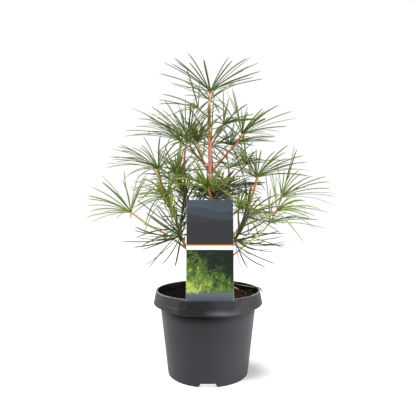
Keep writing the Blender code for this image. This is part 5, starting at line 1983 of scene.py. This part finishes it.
@dataclass
class DryNeedle:
    """A dry needle that lies on the earth and hangs over the rim."""

    node: str = "dry_needle"
    step: float = 4.0 * MM
    half_width: float = 1.35 * MM
    half_thickness: float = 0.45 * MM
    groove: float = 0.6
    girth_at: tuple[float, ...] = (0.0, 0.04, 0.2, 0.8, 0.9, 0.98, 1.0)
    girth: tuple[float, ...] = (0.2, 0.6, 0.95, 1.0, 1.5, 1.2, 0.5)
    withered: Band = (0.0, 0.85, 0.92, 1.0)

    def build(self, form: Form, finish: bpy.types.Material) -> Piece:
        """Builds the dry needle.

        Args:
            form: The tree that makes blades.
            finish: The dry needle's material.

        Returns:
            The piece.
        """
        points, _ = Centreline.of_node(self.node).smooth(self.step)
        share = np.linspace(0.0, 1.0, len(points))
        way = np.gradient(points, axis=0)
        across = np.cross(way, (0.0, 0.0, 1.0))
        across /= np.linalg.norm(across, axis=1)[:, None]
        values = {
            "girth": np.interp(share, self.girth_at, self.girth),
            "across": across,
            "along": np.interp(share, self.withered, (0.0, 0.55, 1.0, 1.0)),
            "tone": np.interp(share, self.withered, (0.6, 0.6, -0.6, -0.6)),
            "sun": np.interp(share, self.withered, (0.2, 0.2, 0.0, 0.0)),
        }
        piece = drawn("dry_needle_blade", [Line(points, values)])
        sizes = {
            "Half width": self.half_width,
            "Half thickness": self.half_thickness,
            "Groove": self.groove,
            "Finish": finish,
        }
        return form.bake(piece, sizes)


# ---- studio


@dataclass(frozen=True)
class Lamp:
    """A soft square lamp that faces the plant's middle."""

    name: str
    place: tuple[float, float, float]
    size: float
    energy: float
    aim: tuple[float, float, float] = (0.0, 0.0, 0.25)

    def hang(self) -> None:
        """Adds the lamp to the scene."""
        light = bpy.data.lights.new(self.name, "AREA")
        light.size, light.energy = self.size, self.energy
        lamp = bpy.data.objects.new(self.name, light)
        bpy.context.scene.collection.objects.link(lamp)
        lamp.location = self.place
        lamp.rotation_euler = (Vector(self.aim) - Vector(self.place)).to_track_quat("-Z", "Y").to_euler()


@dataclass
class Studio:
    """The plain pale floor, the soft light and the camera."""

    camera_place: tuple[float, float, float] = (0.0, -0.70, 0.2845)
    lens: float = 34.35
    sensor: float = 36.0
    clip: Pair = (0.02, 50.0)
    floor_size: float = 4.0
    floor_gap: float = 0.2 * MM
    floor_glow: Pair = (0.42, 0.7)
    shadow_pool_grey: Pair = (0.78, 0.9)
    far_floor: Pair = (0.35, 0.9)
    pool: Band = (0.061, -0.002, 0.018, 0.066)
    foot_glow: Pair = (0.062, 0.068)
    sky: float = 0.45
    lamps: tuple[Lamp, ...] = (
        Lamp("key", (-0.95, -0.6, 1.4), 0.7, 24.0),
        Lamp("right", (1.1, -0.25, 0.35), 0.8, 20.0),
        Lamp("left", (-1.1, 0.25, 0.35), 0.6, 5.5),
    )

    def build(self) -> None:
        """Sets up the floor, the world, the lamps and the camera."""
        self.floor()
        self.world()
        for lamp in self.lamps:
            lamp.hang()
        self.camera()
        bpy.context.scene.view_settings.view_transform = "Standard"

    def floor(self) -> None:
        """A white floor that keeps the plant's shadow beside the pot, with painted shadow in a pool there and painted
        light under the pot's foot.
        """
        mesh = bpy.data.meshes.new("floor")
        s, z = self.floor_size, -self.floor_gap
        mesh.from_pydata([(-s, -s, z), (s, -s, z), (s, s, z), (-s, s, z)], [], [(0, 1, 2, 3)])
        paint = Paint("floor_white", 0.9, Specular_IOR_Level=0.0)
        pool_x, pool_y, pool_from, pool_to = self.pool
        gap = paint.vector_maths("LENGTH", paint.vector_maths("SUBTRACT", paint.place(), (pool_x, pool_y, 0.0)))
        # Painted shadow: the floor's grey is darker in the pool beside the pot.
        paint.feed("Base Color", paint.grey(paint.band(gap, 0.0, pool_to, *self.shadow_pool_grey)))
        near, far = self.floor_glow
        # The glow is held back in the pool, so that the shadow shows there and nowhere else.
        around = paint.band(gap, pool_from, pool_to, 0.0, near)
        beyond = paint.band(gap, *self.far_floor, 0.0, far - near)
        # Painted light: the floor glows under the pot's foot, so that no shade shows through the notches.
        below = paint.band(paint.vector_maths("LENGTH", paint.place()), *self.foot_glow, near, 0.0)
        strength = paint.times(paint.seen(), paint.plus(around, beyond, below))
        glow = paint.add("ShaderNodeEmission", {"Color": (1, 1, 1, 1), "Strength": strength})
        both = paint.add("ShaderNodeAddShader", {0: paint.shader.outputs[0], 1: glow.outputs[0]})
        paint.tree.links.new(both.outputs[0], paint.tree.nodes["Material Output"].inputs[0])
        mesh.materials.append(paint.material)
        new_piece("floor", mesh)

    def world(self) -> None:
        """A white surround, seen at full white and a little softer as light."""
        world = bpy.data.worlds.new("studio")
        world.use_nodes = True
        wiring = Wiring(world.node_tree)
        strength = wiring.straight(wiring.seen(), 1.0 - self.sky, self.sky)
        back = world.node_tree.nodes["Background"]
        back.inputs["Color"].default_value = (1.0, 1.0, 1.0, 1.0)
        world.node_tree.links.new(strength, back.inputs["Strength"])
        bpy.context.scene.world = world

    def camera(self) -> None:
        """The camera, level and in front of the label."""
        data = bpy.data.cameras.new("camera")
        data.lens, data.sensor_width, data.sensor_fit = self.lens, self.sensor, "HORIZONTAL"
        data.clip_start, data.clip_end = self.clip
        camera = bpy.data.objects.new("camera", data)
        camera.location = self.camera_place
        camera.rotation_euler = (math.radians(90.0), 0.0, 0.0)
        bpy.context.scene.collection.objects.link(camera)
        bpy.context.scene.camera = camera


# ---- the whole plant


class PottedPine:
    """The plant, its pot, its earth and its label."""

    def __init__(self) -> None:
        """Reads from the record which slot each node fills."""
        self.slots: dict[str, str] = {row["node"]: row["material_slot"] for row in frame["record"]["subparts"]}

    def set_in(self, piece: Piece, node: str) -> None:
        """Puts a piece in the place of a node, and reports it.

        Args:
            piece: The piece.
            node: The node that it stands for.
        """
        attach(piece, BODY)
        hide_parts(node)
        LOG.info("%s stands for %s with %d faces", piece.name, node, len(piece.data.polygons))

    def grow_needles(self) -> None:
        """Builds every whorl and the dry needle."""
        form, card = needle_form(), CardLabel()
        finishes = {kind: kind.value.made() for kind in Needles}
        for node, look in WHORLS.items():
            finish = finishes[Needles.for_slot(self.slots[node])]
            self.set_in(NeedleWhorl(node, look, card).build(form, finish), node)
        self.set_in(DryNeedle().build(form, STRAW.made()), "dry_needle")

    def grow_stems(self) -> None:
        """Builds every stem and the fallen twig."""
        form = stem_form()
        finish = BarkFinish().made()
        for node, look in STEMS.items():
            self.set_in(StemBranch(node, look, side_shoot=node != "trunk").build(form, finish), node)
        self.set_in(StemBranch("fallen_twig", TWIG_LOOK, side_shoot=False).build(form, finish), "fallen_twig")

    def pot_up(self) -> None:
        """Builds the pot, the earth and the label."""
        card = CardLabel()
        self.set_in(NurseryPot().build(card, PotFinish().made()), "pot")
        self.set_in(card.build(CardFinish().made()), "label")
        self.set_in(EarthBed().build(chip_form(), EarthFinish().made()), "soil")


def main() -> None:
    """Builds everything in order."""
    logging.basicConfig(level=logging.INFO, format="%(name)s: %(message)s")
    pine = PottedPine()
    pine.pot_up()
    pine.grow_stems()
    pine.grow_needles()
    Studio().build()


if __name__ == "__main__":
    main()
